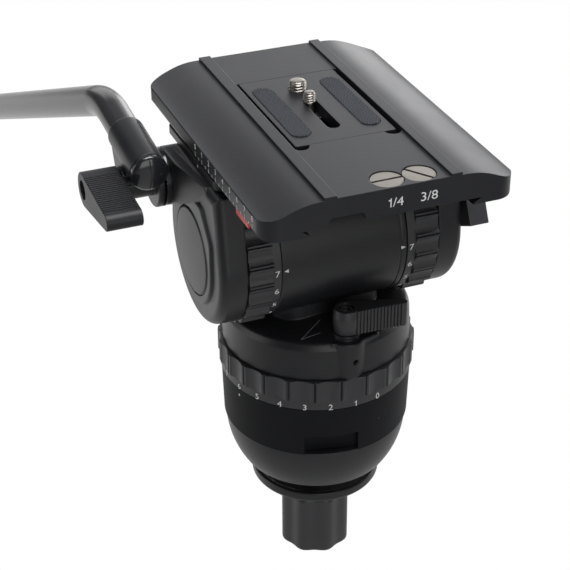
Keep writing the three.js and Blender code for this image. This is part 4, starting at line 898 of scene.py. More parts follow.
class HousingSizes(bpy.types.PropertyGroup):
    foot: mm("Skirt radius", "Radius of the skirt at its foot", 51)
    top: mm("Skirt top radius", "Radius below its shoulder", 50.2)
    foot_edge: mm("Foot edge", "Round of the skirt's foot", 0.4)
    shoulder: mm("Shoulder", "Round of the skirt's shoulder", 3)
    shoulder_drop: mm("Shoulder drop", "Height of the round shoulder", 3.4)
    land: mm("Land round", "Round at both ends of the land", 2)
    height: mm("Skirt height", "Height of the skirt with its shoulder", 20.6)
    dome_edge: mm("Dome edge", "Radius where the dome begins", 46.5)
    dome_flat: mm("Dome flat", "Radius of the dome's flat middle", 27)
    dome_rise: mm("Dome rise", "Height of the dome above its edge", 4)
    edge_rise: mm("Edge rise", "Height of its edge above the skirt", 0.6)
    cylinder: mm("Cylinder radius", "Outer radius of the tilt cylinder", 40.5)
    cylinder_half: mm("Cylinder half", "Half its length", 34.2)
    cylinder_edge: mm("Cylinder edge", "Round of its rims", 0.6)
    line: mm("Line", "Width and depth of the line by the right rim", 0.35)
    line_x: mm("Line place", "Its distance from the middle", 30.9)
    neck_half: mm("Neck half", "Half the neck's width", 30)
    neck_front: mm("Neck front", "Its reach to the front", 25)
    neck_rear: mm("Neck rear", "Its reach to the rear", 27)
    neck_corner: mm("Neck corner", "Round of its corners", 14)
    boss_radius: mm("Boss radius", "Radius of the pan lock's boss", 10.5)
    boss_left: mm("Boss left", "Its reach to the left", 10.5)
    boss_right: mm("Boss right", "Its reach to the right", 16.5)
    boss_foot: mm("Boss foot", "Radius where its ends meet the skirt", 49.5)
    set_screw_hole: mm("Set screw hole", "Radius of the set screw's hole", 1.6)
    tilt_boss: mm("Tilt boss", "Radius of the tilt lock's boss", 6.5)


def tilt_cylinder(dim, axis):
    half, radius, line = dim.cylinder_half, dim.cylinder, dim.line
    at = dim.line_x
    return spun([
        (0, -half), (radius, -half, dim.cylinder_edge), (radius, at - line), (radius - line, at - line / 2),
        (radius - line, at + line / 2), (radius, at + line), (radius, half, dim.cylinder_edge), (0, half)],
        FINE_SIDES, "x", axis)


def lever_bosses(dim, axis, foot, top):
    """The pan lock's boss and collar, and the boss of the tilt lock."""
    at = anchor_of("pan_lock")
    left, right = at.x - dim.boss_left, at.x + dim.boss_right
    outline = [(right, at.y), (left, at.y), (left, -sqrt(dim.boss_foot ** 2 - left ** 2))]
    outline += arc(at.x, at.y, dim.boss_radius, *(HALF_TURN * share for share in BOSS_ARC))
    outline += [(right, -sqrt(dim.boss_foot ** 2 - right ** 2))]
    boss = prism(outline, foot, top + GAP, edges=(0, BOSS_EDGE))
    lever = low_of("pan_lock_lever")
    collar = rod(at.x - lever.x, top, lever.z - GAP, ROUND_SIDES, at=(at.x, at.y, 0))
    tilt = anchor_of("tilt_lock")
    reach = low_of("tilt_lock_lever").y - GAP
    tilt_boss = rod(dim.tilt_boss, 0, reach, ROUND_SIDES, "y", (tilt.x, 0, tilt.z))
    return [boss, collar, tilt_boss]


def housing_hollows(dim, axis, foot):
    """Room for the bearings, cartridges, rings, level and screws."""
    below = foot - OVERRUN
    bearing = high_of("pan_thrust_bearing")
    rotor = high_of("pan_damper_rotor")
    axle = high_of("pan_axle")
    cartridge = high_of("tilt_damper").z - axis.z + GAP
    ring = bpy.context.scene.head_rings.tilt_grip + 2 * GAP
    half = dim.cylinder_half
    made = [
        rod(bearing.x + GAP, below, bearing.z + GAP, ROUND_SIDES),
        rod(rotor.x + 2 * GAP, below, rotor.z, ROUND_SIDES),
        rod(bpy.context.scene.head_base.bore, below, axle.z + GAP),
        rod(cartridge, -half - OVERRUN, half + OVERRUN, ROUND_SIDES, "x", axis),
    ]
    for side in (-1, 1):
        near, far = sorted((side * (half + GAP / 2), side * 2 * half))
        made.append(rod(ring, near, far, ROUND_SIDES, "x", axis))
    screw = middle_of("boss_set_screw")
    back = high_of("boss_set_screw").y + GAP
    made.append(rod(dim.set_screw_hole, -1.2 * dim.foot, back, SMALL_SIDES, "y", (screw.x, 0, screw.z)))
    cup = middle_of("level_cup")
    radius = high_of("level_cup").x - cup.x + GAP
    dome = foot + dim.height + dim.edge_rise + dim.dome_rise
    made.append(rod(radius, low_of("level_cup").z, dome + OVERRUN, at=(cup.x, cup.y, 0)))
    return made


class HEAD_OT_housing(bpy.types.Operator):
    """Rotating housing: skirt, dome, neck, tilt cylinder and the levers' bosses"""
    bl_idname = "head.housing"
    bl_label = "Pan housing"

    def execute(self, context):
        dim = context.scene.head_housing
        axis = middle_of("tilt_axle")
        foot = low_of("pan_housing").z
        top = foot + dim.height
        dome = top + dim.edge_rise
        skirt = spun([
            (0, foot), (dim.foot, foot, dim.foot_edge), (dim.top, top - dim.shoulder_drop, dim.shoulder),
            (dim.top - dim.shoulder_drop / 2, top, dim.land), (dim.dome_edge, dome, dim.land),
            (dim.dome_flat, dome + dim.dome_rise, 3 * dim.land), (0, dome + dim.dome_rise)],
            FINE_SIDES, steps=8)
        neck = prism(
            rectangle(axis.x - dim.neck_half, -dim.neck_front, axis.x + dim.neck_half, dim.neck_rear,
                      dim.neck_corner, 16), top, axis.z - dim.cylinder / 2)
        body = skirt.join(neck, tilt_cylinder(dim, axis), *lever_bosses(dim, axis, foot, top))
        body.cut(*housing_hollows(dim, axis, foot))
        body.piece("housing_shell", "pan_housing", finish="cast_black")
        return {"FINISHED"}


# Levers

class LeverSizes(bpy.types.PropertyGroup):
    edge: mm("Edge", "Round of the levers' edges", 0.35)
    rib: mm("Rib depth", "Depth of the grooves between the ribs", 0.7)
    fill: part_of("Groove share", "A groove's share of the ribs' pitch", 0.5)
    first: part_of("First rib", "Where the ribs begin on the face", 0.1)
    last: part_of("Last rib", "Where they end", 0.98)
    recess: mm("Recess", "Radius of the screw head's recess", 4.3)
    recess_depth: mm("Recess depth", "Depth of that recess", 4.5)
    bore: mm("Bore", "Radius of the screw's hole", 3.3)
    hub_waist: mm("Hub waist", "How much the pan lever's hub narrows", 0.7)
    pan_hub: mm("Pan hub", "Radius of the pan lever's hub", 7)
    pan_reach: mm("Pan reach", "Length of the pan lever", 31.9)
    pan_tip: mm("Pan tip", "Radius of its tip", 2.4)
    pan_lean: mm("Pan lean", "Offset of its tip", 5.2)
    pan_ribs: count("Pan ribs", "Ribs on its face", 14)
    tilt_hub: mm("Tilt hub", "Radius of the tilt lever's hub", 6.5)
    tilt_reach: mm("Tilt reach", "Length of the tilt lever", 29)
    tilt_tip: mm("Tilt tip", "Radius of its tip", 2.4)
    tilt_lean: mm("Tilt lean", "Offset of its tip", 3.6)
    tilt_ribs: count("Tilt ribs", "Ribs on its face", 12)
    plate_hub: mm("Plate hub", "Radius of the plate lever's hub", 7.5)
    plate_reach: mm("Plate reach", "Length of the plate lever", 36)
    plate_tip: mm("Plate tip", "Radius of its tip", 6.4)
    plate_lean: mm("Plate lean", "Offset of its tip", 0.6)
    plate_turn: turn("Plate turn", "Where its arm points, from the Y axis", 243)
    plate_edge: mm("Plate edge", "Round of its outer edges", 0.5)
    knob_hub: mm("Knob hub", "Radius of the clamp knob's hub", 9.4)
    knob_reach: mm("Knob reach", "Length of its wing", 45.5)
    knob_tip: mm("Knob tip", "Radius of its nose", 4.6)
    knob_lean: mm("Knob lean", "Offset of its nose", 1.9)
    knob_ribs: count("Knob ribs", "Ribs on its upper face", 19)
    knob_recess: mm("Knob recess", "Radius of its end's recess", 5.3)
    knob_recess_depth: mm("Knob recess depth", "Depth of that recess", 5)
    knob_edge: mm("Knob edge", "Round of its edges", 0.5)


def lever_form(dim, kind, height, edge, ribs=0, waist=0):
    """A lever along Z with its arm along +X, and its ribs on the face towards -Y."""
    hub, reach, tip, lean = (getattr(dim, f"{kind}_{part}") for part in ("hub", "reach", "tip", "lean"))
    grooves = (ribs, dim.rib, dim.fill, dim.first, dim.last) if ribs else None
    outline = belt((0, 0), hub - waist, (reach - tip, -lean), tip, grooves)
    return prism(outline, 0, height, edges=(edge, edge), steps=3)


def lever_screw_room(dim, height):
    return [rod(dim.bore, -OVERRUN, height + OVERRUN),
            rod(dim.recess, height - dim.recess_depth, height + OVERRUN)]


def tilt_lock(dim):
    low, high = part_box("tilt_lock_lever")
    at = anchor_of("tilt_lock")
    height = high.y - low.y
    lever = lever_form(dim, "tilt", height, dim.edge, dim.tilt_ribs)
    lever.cut(*lever_screw_room(dim, height))
    place = Matrix.Translation((at.x, low.y, at.z)) @ Matrix.Rotation(-QUARTER_TURN, 4, "X")
    lever.moved(place).piece("tilt_lever", "tilt_lock_lever")


def plate_lock(dim):
    low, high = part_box("plate_lock_lever")
    at = anchor_of("plate_lock")
    width = high.x - low.x
    lever = lever_form(dim, "plate", width, dim.plate_edge)
    tip, lean = dim.plate_tip, dim.plate_lean
    reach = dim.plate_reach
    end = block((reach - 2 * tip, -tip - lean, 0), (reach, tip - lean, width), dim.plate_edge)
    lever.join(end).cut(rod(high_of("plate_lock_pin").y - at.y + GAP, -OVERRUN, width - OVERRUN))
    along_x(lever, (low.x, at.y, at.z), dim.plate_turn).piece("plate_lever", "plate_lock_lever")


class HEAD_OT_levers(bpy.types.Operator):
    """Pan lock, tilt lock and plate lock levers"""
    bl_idname = "head.levers"
    bl_label = "Levers"

    def execute(self, context):
        dim = context.scene.head_levers
        low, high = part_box("pan_lock_lever")
        at = anchor_of("pan_lock")
        height = high.z - low.z
        lever = lever_form(dim, "pan", height, dim.edge, dim.pan_ribs, dim.hub_waist)
        waist = dim.pan_hub - dim.hub_waist
        hub = spun([
            (0, 0), (waist, 0, dim.edge), (dim.pan_hub, height / 3, 6 * dim.edge),
            (dim.pan_hub, 2 * height / 3, 6 * dim.edge), (waist, height, 2 * dim.edge), (0, height)])
        lever.join(hub).cut(*lever_screw_room(dim, height))
        lever.moved(Matrix.Translation((at.x, at.y, low.z))).piece("pan_lever", "pan_lock_lever")
        tilt_lock(dim)
        plate_lock(dim)
        return {"FINISHED"}


# Ears

class EarSizes(bpy.types.PropertyGroup):
    radius: mm("Ear radius", "Radius of the ear's lower half", 40.6)
    top_half: mm("Ear top half", "Half the ear's width at the platform", 34)
    round: mm("Ear round", "Round of its outer rim", 5)
    outer: mm("Ear outer", "Place of its outer face", 66.4)
    shield: mm("Shield radius", "Radius of the shield round the disc", 28.5)
    shield_rise: mm("Shield rise", "How far it stands out", 1.5)
    shield_head: mm("Shield head", "Height of its flat top above the axis", 31)
    shield_head_half: mm("Shield head half", "Half the width of that flat top", 15)
    shield_side: mm("Shield side", "Round where its sides lean inward", 8)
    disc_drop: mm("Disc drop", "Drop of the disc below the axis", 1)
    disc_edge: mm("Disc edge", "Width and depth of the disc's rim", 2.2)
    disc_rim: mm("Disc rim", "Round of that rim", 0.8)
    bolt_room: mm("Bolt room", "Radius of the bolt head's room", 8.3)
    bolt_depth: mm("Bolt depth", "Depth of that room", 4.3)
    arm_front: mm("Arm front", "Distance of its front end from the rosette", 50)
    arm_front_rise: mm("Arm front rise", "Height of that end above the tilt axis", 39.3)
    arm_front_radius: mm("Arm front radius", "Radius of that end", 4)
    arm_round: mm("Arm round", "Round of its outer edge", 1.5)
    fade_from: mm("Fade from", "Where it begins to fade, before the rosette's middle", 18)
    fade: mm("Fade", "Length over which it fades", 36)
    fade_depth: mm("Fade depth", "How far it comes in over that length", 5.2)
    teeth: count("Teeth", "Teeth round the rosette", 48)
    tooth: mm("Tooth", "Depth of the rosette's teeth", 0.7)
    bore: mm("Rosette bore", "Radius of the rosette's hole", 5)


def toothed(dim, radius, face, sign):
    """Shape of a face full of radial teeth, for lathe; the teeth are sunk towards sign."""
    def shape(angle, r, x):
        if sign * (x - face) > dim.tooth:
            return r, x
        wave = abs((angle / TAU * dim.teeth) % 1 * 2 - 1)
        return r, x + sign * dim.tooth * wave * r / radius
    return shape


def ear_form(dim, axis, side, disc):
    inner = low_of("right_ear").x - axis.x
    rise = low_of("platform").z - axis.z
    tangent = (atan2(rise, dim.top_half) - acos(dim.radius / hypot(dim.top_half, rise)))
    outline = arc(0, 0, dim.radius, HALF_TURN - tangent, TAU + tangent, 96)
    outline += [(dim.top_half, rise), (-dim.top_half, rise)]
    body = ear_prism(outline, inner, dim.outer, side, dim.round, axis, 8)
    drop, waist, half = dim.disc_drop, dim.shield_head / 2, dim.shield_head_half
    shield = arc(0, -drop, dim.shield, HALF_TURN, TAU, 64)
    shield += rounded([
        (dim.shield, -drop), (dim.shield, waist, dim.shield_side),
        (half, dim.shield_head, dim.round), (-half, dim.shield_head, dim.round),
        (-dim.shield, waist, dim.shield_side), (-dim.shield, -drop)])
    outer = dim.outer + dim.shield_rise
    body.join(ear_prism(shield, dim.outer - dim.shield_rise, outer, side, dim.shield_rise, axis, 5))
    if side < 0:
        body.join(arm_form(dim, axis))
    disc_back = min(abs(v.x - axis.x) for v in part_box(disc))
    axle = high_of("tilt_axle")
    body.cut(
        ear_bore(high_of(disc).y + GAP, disc_back, 2 * dim.outer, side, (axis.x, axis.y, axis.z - drop)),
        ear_bore(dim.bolt_room, disc_back - dim.bolt_depth, disc_back + OVERRUN, side, axis),
        ear_bore(axle.z - axis.z + GAP, 0, axle.x - axis.x + GAP, side, axis),
        *(shank_room(node, low_of(node).z, high_of(node).z) for node in PLATFORM_SCREWS
          if middle_of(node).x * side > 0))
    return body


def ear_prism(outline, near, far, side, edge, axis, steps):
    """A prism along X between two distances from the axis, its outer edge rounded."""
    if side > 0:
        return prism(outline, near, far, "x", axis, (0, edge), steps)
    return prism(outline, -far, -near, "x", axis, (edge, 0), steps)


def ear_bore(radius, near, far, side, at):
    low, high = sorted((side * near, side * far))
    return rod(radius, low, high, ROUND_SIDES, "x", at)


def arm_form(dim, axis):
    low, high, at = box_of("handle_rosette")
    front = (at.y - dim.arm_front, axis.z + dim.arm_front_rise)
    outline = belt((at.y, at.z), high.y - at.y, front, dim.arm_front_radius, steps=40)
    arm = prism(outline, high.x, axis.x - dim.outer + dim.round, "x", edges=(dim.arm_round, 0))
    spare = block((-dim.outer, -2 * dim.outer, 0), (0, 0, 2 * at.z))
    place = Matrix.Translation((high.x, at.y - dim.fade_from, 0))
    return arm.cut(spare.moved(place @ Matrix.Rotation(atan2(dim.fade_depth, dim.fade), 4, "Z")))


def cover_disc(dim, axis, side, name):
    low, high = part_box(f"{name}_ear_disc")
    radius, edge = high.y, dim.disc_edge
    back, thick = (low.x if side > 0 else high.x), high.x - low.x
    dome, span = thick - edge, radius - edge / 2
    profile = rounded([(0, 0), (radius, 0), (radius, thick - 2 * dome, dim.disc_rim), (span, thick - dome)])
    profile += [(span * (1 - k / DISC_STEPS), thick - dome * (1 - k / DISC_STEPS) ** 2)
                for k in range(1, DISC_STEPS + 1)]
    profile = [(r, back + side * h) for r, h in profile]
    made = lathe(profile, FINE_SIDES, "x", (0, 0, axis.z - dim.disc_drop))
    made.piece(f"{name}_cover_disc", f"{name}_ear_disc", finish="disc_black")


def toothed_rosette(dim):
    low, high, at = box_of("handle_rosette")
    radius = high.y - at.y
    spun([(dim.bore, high.x), (dim.bore, low.x), (radius, low.x, FINE_EDGE), (radius, high.x)],
         dim.teeth * TOOTH_STEPS, "x", (0, at.y, at.z), toothed(dim, radius, low.x, 1)).piece(
        "toothed_rosette", "handle_rosette", finish="gloss_black", crease=40)


class HEAD_OT_ears(bpy.types.Operator):
    """Both ears with their shields and discs, and the rosette on the left one's arm"""
    bl_idname = "head.ears"
    bl_label = "Ears"

    def execute(self, context):
        dim = context.scene.head_ears
        axis = middle_of("tilt_axle")
        for side, name in ((-1, "left"), (1, "right")):
            ear = ear_form(dim, axis, side, f"{name}_ear_disc")
            if side > 0:
                low, high, at = box_of("plate_lock_pin")
                hole = (high.y - at.y + GAP, low.x - GAP, high.x)
            else:
                at, face = middle_of("handle_rosette"), low_of("left_ear").x
                hole = (dim.bore, face - OVERRUN, face + dim.bore)
            ear.cut(rod(*hole, SMALL_SIDES, "x", (0, at.y, at.z)))
            ear.piece(f"{name}_ear_casting", f"{name}_ear", finish="cast_black")
            cover_disc(dim, axis, side, name)
        toothed_rosette(dim)
        return {"FINISHED"}


# Platform

class PlatformSizes(bpy.types.PropertyGroup):
    half: mm("Half width", "Half the platform's width", 64)
    flange_front: mm("Flange front", "Reach of the wide part to the front", 27)
    nose: mm("Nose", "Reach of the narrow part to the front", 66)
    nose_half: mm("Nose half", "Half the width of that part", 57)
    thickness: mm("Thickness", "Thickness of the platform", 4.9)
    corner: mm("Corner", "Round of its corners in plan", 5)
    edge: mm("Edge", "Round of its edges", 0.6)
    rail_half: mm("Rail half", "Half the rail's foot", 40.2)
    rail_flare: mm("Rail flare", "Growth of the rail to its top, each side", 4.4)
    rail_front: mm("Rail front", "Reach of the rail to the front", 60)
    button_edge: mm("Button edge", "Round of the button's edges", 0.4)
    button_stem: mm("Button stem", "Height of the stem behind the lip", 2.4)
    button_lip: mm("Button lip", "Thickness of the button's lip", 1)


class HEAD_OT_platform(bpy.types.Operator):
    """Platform with its dovetail rail, and the red release button"""
    bl_idname = "head.platform"
    bl_label = "Platform"

    def execute(self, context):
        dim = context.scene.head_platform
        low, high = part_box("platform")
        top = low.z + dim.thickness
        edges = (dim.edge, dim.edge)
        flange = prism(rectangle(-dim.half, -dim.flange_front, dim.half, high.y, dim.corner), low.z, top,
                       edges=edges)
        nose = prism(rectangle(-dim.nose_half, -dim.nose, dim.nose_half, 0, dim.corner), low.z, top,
                     edges=edges)
        wide = dim.rail_half + dim.rail_flare
        rail = prism(rounded([
            (-dim.rail_half, top - OVERRUN), (dim.rail_half, top - OVERRUN), (dim.rail_half, top),
            (wide, high.z, dim.edge / 2), (-wide, high.z, dim.edge / 2), (-dim.rail_half, top)]),
            -dim.rail_front, high.y, "y")
        button_low, button_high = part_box("plate_release_button")
        travel = JOINT_OF["plate_release"]["range_m"][1]
        stem = block((button_low.x, button_low.y - GAP, button_high.z - dim.button_stem - GAP),
                     (button_high.x + travel + GAP, button_high.y + GAP, top + OVERRUN))
        holes = []
        for node in PLATFORM_SCREWS:
            _, corner, at = box_of(node)
            holes.append(shank_room(node, low.z - OVERRUN, top))
            seat = corner.z - DECK_HEAD_HEIGHT
            holes.append(rod(corner.x - at.x + GAP, seat, top + OVERRUN, at=(at.x, at.y, 0)))
        flange.join(nose, rail).cut(stem, *holes).piece("platform_plate", "platform")
        outer = button_low.x
        lip = block((outer, button_low.y, button_low.z),
                    (outer + dim.button_lip, button_high.y, button_high.z), dim.button_edge)
        shank = block((outer + dim.button_edge, button_low.y + GAP, button_high.z - dim.button_stem),
                      (button_high.x, button_high.y - GAP, button_high.z - GAP))
        lip.join(shank).piece("red_button", "plate_release_button")
        return {"FINISHED"}


# Plates

class PlateSizes(bpy.types.PropertyGroup):
    corner: mm("Corner", "Round of the plate's corners", 11)
    edge_round: mm("Lower round", "Round of its long lower edges", 4)
    edge: mm("Edge", "Round of its small edges", 0.4)
    strip: mm("Strip", "Place of the strips' outer edges", 34.7)
    wing_step: mm("Wing step", "Drop from a strip to its wing", 0.3)
    wing_fall: mm("Wing fall", "How far the wings fall to the sides", 6.9)
    wing_ease: ratio("Wing ease", "How late the fall begins; 1 is an even wave", 1.35)
    channel: mm("Channel half", "Half the width of the channel", 28.65)
    middle: mm("Middle", "Offset of the channel's middle", 0.35)
    top: mm("Top", "Height of the channel's face", 178.7)
    groove_depth: mm("Groove depth", "Depth of the dovetail groove", 3.2)
    groove_half: mm("Groove half", "Half the width of its mouth", 41.1)
    groove_flare: mm("Groove flare", "How much wider it is inside, each side", 4.4)
    window_half: mm("Window half", "Half the window under the camera plate", 9.5)
    window_front: mm("Window front", "Its reach to the front", 30)
    window_rear: mm("Window rear", "Its reach to the rear", 36)
    relief: mm("Relief", "Radius of the pocket's corner reliefs", 4.4)
    notch_x: mm("Notch place", "Middle of the notch in the front edge", -23.2)
    notch_half: mm("Notch half", "Half the notch's width", 9.2)
    notch_height: mm("Notch height", "Its rise above the groove", 4.1)
    notch_depth: mm("Notch depth", "Its depth from the front", 12)
    foot_edge: mm("Foot edge", "Height of the camera plate's foot and bevel", 1.5)
    foot: mm("Foot", "Reach of the foot, each side", 1.5)
    plate_corner: mm("Plate corner", "Round of the camera plate's corners", 3)
    pad_sunk: mm("Pad sunk", "Depth of the pads' seats", 1)
    pad_pitch: mm("Pad pitch", "Spacing of the pads' crossed grooves", 1.6)
    pad_groove: mm("Pad groove", "Depth of those grooves", 0.45)
    slot_radius: mm("Slot radius", "Half the camera screw's slot", 3.5)
    slot_front: mm("Slot front", "Where it ends to the front", -20.5)
    quarter: mm("Quarter inch", "Radius of the 1/4 inch screw", 3.175)
    quarter_pitch: mm("Quarter pitch", "Its thread's pitch", 1.27)
    three_eighths: mm("Three eighths", "Radius of the 3/8 inch screw", 4.7625)
    three_eighths_pitch: mm("Three eighths pitch", "Its thread's pitch", 1.5875)
    head_height: mm("Head height", "Height of the camera screws' heads", 3.2)
    spare_head_height: mm("Spare head height", "Height of the spare screws' heads", 2.4)
    coin_slot: mm("Coin slot", "Width of the heads' slots", 1.6)
    coin_depth: mm("Coin depth", "Depth of those slots", 1.7)
    quarter_slot_turn: turn("Quarter slot", "Where the 1/4 inch spare's slot points", 1)
    three_eighths_slot_turn: turn("Three eighths slot", "Where the 3/8 inch spare's slot points", -55)
    seat_sunk: mm("Seat sunk", "Depth of the spare screws' seats", 2.7)


def plate_section(dim, low, high):
    """Half the section from the strip to the groove, then its mirror image and the channel."""
    half = [(dim.strip - dim.edge / 2, high.z), (dim.strip, high.z - dim.edge / 2),
            (dim.strip, dim.top - dim.wing_step)]
    for step in range(1, WING_STEPS + 1):
        share = step / WING_STEPS
        fall = dim.wing_fall * (1 - cos(HALF_TURN * share ** dim.wing_ease)) / 2
        half.append((dim.strip + (high.x - dim.edge - dim.strip) * share, dim.top - dim.wing_step - fall))
    half.append((high.x, half[-1][1] - dim.edge))
    half += arc(high.x - dim.edge_round, low.z + dim.edge_round, dim.edge_round, 0, -QUARTER_TURN, 10)
    ceiling = low.z + dim.groove_depth
    half += [(dim.groove_half, low.z), (dim.groove_half + dim.groove_flare, ceiling)]
    mirrored = [(-x, z) for x, z in half][::-1]
    left, right = dim.middle - dim.channel, dim.middle + dim.channel
    edge = dim.edge / 2
    return half + mirrored + [
        (left - edge, high.z), (left, high.z - edge), (left, dim.top), (right, dim.top),
        (right, high.z - edge), (right + edge, high.z)]


def spare_seats(dim, low):
    made = []
    for node, radius in (("spare_quarter_inch_screw", dim.quarter),
                         ("spare_three_eighths_screw", dim.three_eighths)):
        at = middle_of(node)
        head = high_of(node).x - at.x
        seat = dim.top - dim.seat_sunk
        made.append(rod(head + GAP, seat, 2 * seat, ROUND_SIDES, at=(at.x, at.y, 0)))
        made.append(rod(radius + GAP, low.z - OVERRUN, seat + OVERRUN, at=(at.x, at.y, 0)))
    return made


class HEAD_OT_sliding_plate(bpy.types.Operator):
    """Sliding plate with its channel, strips, falling wings and dovetail groove"""
    bl_idname = "head.sliding_plate"
    bl_label = "Sliding plate"

    def execute(self, context):
        dim = context.scene.head_plates
        low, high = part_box("sliding_plate")
        plan = rectangle(low.x, low.y, high.x, high.y, dim.corner, 16)
        overall = prism(plan, low.z - OVERRUN, high.z + OVERRUN)
        body = prism(plate_section(dim, low, high), low.y, high.y, "y").keep(overall)
        camera_low, camera_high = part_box("camera_plate")
        floor = camera_low.z - GAP
        middle, half = dim.middle, dim.channel
        reliefs = [rod(dim.relief, floor, 2 * high.z, at=(x, camera_low.y - GAP, 0))
                   for x in (middle - half + dim.relief, middle + half - dim.relief)]
        rise = low.z + dim.groove_depth
        notch = prism(
            rectangle(dim.notch_x - dim.notch_half, low.z - 3 * OVERRUN, dim.notch_x + dim.notch_half,
                      rise + dim.notch_height, dim.notch_height / 2),
            low.y - OVERRUN, low.y + dim.notch_depth, "y")
        body.cut(
            block((middle - half, camera_low.y - GAP, floor),
                  (middle + half, camera_high.y + GAP, 2 * high.z)),
            block((middle - dim.window_half, -dim.window_front, low.z - OVERRUN),
                  (middle + dim.window_half, dim.window_rear, camera_low.z)),
            notch, *reliefs, *spare_seats(dim, low))
        body.piece("sliding_plate_body", "sliding_plate")
        return {"FINISHED"}


# Pads: rows and columns of the fine top, shares of the length, radius and width, and the grooves' slant and
# flanks
PAD_ROWS, PAD_COLUMNS = 240, 40
PAD_END_SHARE, PAD_TIP_SHARE, PAD_RIM_SHARE = 0.999, 0.02, 0.97
PAD_SLANT, PAD_STEEPNESS = 0.55, 2.2


def ribbed_pad(dim, node):
    """A pad whose top carries two crossing sets of fine grooves."""
    low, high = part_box(node)
    x, middle = (low.x + high.x) / 2, (low.y + high.y) / 2
    radius, reach = (high.x - low.x) / 2, (high.y - low.y) / 2
    mesh = bmesh.new()
    grid = []
    for row in range(PAD_ROWS + 1):
        y = middle - cos(HALF_TURN * row / PAD_ROWS) * reach * PAD_END_SHARE
        past = max(0.0, abs(y - middle) - (reach - radius))
        half = sqrt(max(radius ** 2 - past ** 2, (PAD_TIP_SHARE * radius) ** 2))
        line = [mesh.verts.new((x - half, y, low.z))]
        for column in range(PAD_COLUMNS + 1):
            across = -half + 2 * half * column / PAD_COLUMNS
            inside = abs(across) / half < PAD_RIM_SHARE
            sunk = groove_depth(dim, across, y) if inside else dim.pad_groove
            line.append(mesh.verts.new((x + across, y, high.z - sunk)))
        line.append(mesh.verts.new((x + half, y, low.z)))
        grid.append(line)
    skin(mesh, grid)
    Form(mesh).piece(f"{node}_ribbed", node, crease=60)


def groove_depth(dim, across, along):
    """How far the pad's top is sunk at a place: narrow grooves along two slanting directions."""
    deepest = 0.0
    for slant in (-PAD_SLANT, PAD_SLANT):
        phase = ((across + slant * along) / dim.pad_pitch) % 1
        deepest = max(deepest, 1 - abs(2 * phase - 1) * PAD_STEEPNESS)
    return dim.pad_groove * deepest


class HEAD_OT_camera_plate(bpy.types.Operator):
    """Camera plate with its bevelled sides, slot and two ribbed rubber pads"""
    bl_idname = "head.camera_plate"
    bl_label = "Camera plate"

    def execute(self, context):
        dim = context.scene.head_plates
        low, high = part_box("camera_plate")
        middle = dim.middle
        wide, narrow = high.x - middle, high.x - middle - dim.foot
        step = low.z + dim.foot_edge
        section = rounded([
            (middle - wide, low.z), (middle + wide, low.z), (middle + wide, step),
            (middle + narrow, step + dim.foot_edge), (middle + narrow, high.z, dim.edge),
            (middle - narrow, high.z, dim.edge), (middle - narrow, step + dim.foot_edge),
            (middle - wide, step)])
        plan = rectangle(low.x, low.y, high.x, high.y, dim.plate_corner)
        body = prism(section, low.y, high.y, "y").keep(prism(plan, low.z - OVERRUN, high.z + OVERRUN))
        slot = slot_outline(0, dim.slot_front, anchor_of("quarter_turn").y, dim.slot_radius)
        slot = prism(slot, low.z - OVERRUN, high.z + OVERRUN)
        at = anchor_of("three_eighths_turn")
        hole = rod(dim.three_eighths + GAP, low.z - OVERRUN, high.z + OVERRUN, at=(at.x, at.y, 0))
        seats = []
        for node in ("left_pad", "right_pad"):
            a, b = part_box(node)
            radius = (b.x - a.x) / 2
            outline = slot_outline((a.x + b.x) / 2, a.y + radius, b.y - radius, radius + GAP)
            seats.append(prism(outline, high.z - dim.pad_sunk - GAP, high.z + OVERRUN))
        body.cut(slot, hole, *seats).piece("camera_plate_body", "camera_plate")
        for node in ("left_pad", "right_pad"):
            ribbed_pad(dim, node)
        return {"FINISHED"}


def camera_screw(dim, node, radius, pitch):
    """A camera screw: bare up to the plate's face, then threaded, with a bevelled end."""
    low, high, at = box_of(node)
    head = high.x - at.x
    seat = low.z + dim.head_height
    depth = pitch * THREAD_DEPTH_SHARE
    bare = radius - SHANK_SUNK * depth
    face = high_of("camera_plate").z - GAP
    profile = rounded([(0, low.z), (head, low.z, FINE_EDGE), (head, seat, FINE_EDGE), (radius, seat)], 3)
    rows = thread_rows(radius, face, high.z - pitch * END_FROM, pitch, 10)
    profile += [(bare, seat), (bare, face - depth), *rows]
    profile += [(radius - depth * END_SUNK, high.z - pitch * END_STEP),
                (radius - depth * TIP_SUNK, high.z - FINE_EDGE / 3),
                (radius * TIP_SHARE, high.z), (0, high.z)]
    screw = lathe(profile, SCREW_SIDES, at=(at.x, at.y, 0), shape=thread(radius, pitch, depth))
    screw.cut(coin_slot(dim, at, low.z - OVERRUN, low.z + dim.coin_depth, head, 0))
    screw.piece(f"{node}_threaded", node, crease=50)


def spare_screw(dim, node, radius, pitch, slot):
    low, high, at = box_of(node)
    head = high.x - at.x
    seat = high.z - dim.spare_head_height
    depth = pitch * THREAD_DEPTH_SHARE
    profile = [(0, low.z), (radius - depth, low.z), *thread_rows(radius, low.z + depth, seat - GAP, pitch)]
    profile += rounded([(radius, seat), (head, seat, FINE_EDGE), (head, high.z, SPARE_RIM), (0, high.z)], 4)
    screw = lathe(profile, at=(at.x, at.y, 0), shape=thread(radius, pitch, depth))
    screw.cut(coin_slot(dim, at, high.z - dim.coin_depth, high.z + OVERRUN, head, slot))
    screw.piece(f"{node}_slotted", node, crease=50)


def coin_slot(dim, at, low, high, head, slot):
    half = dim.coin_slot / 2
    tool = block((-2 * head, -half, low), (2 * head, half, high))
    return tool.moved(Matrix.Translation((at.x, at.y, 0)) @ Matrix.Rotation(slot, 4, "Z"))


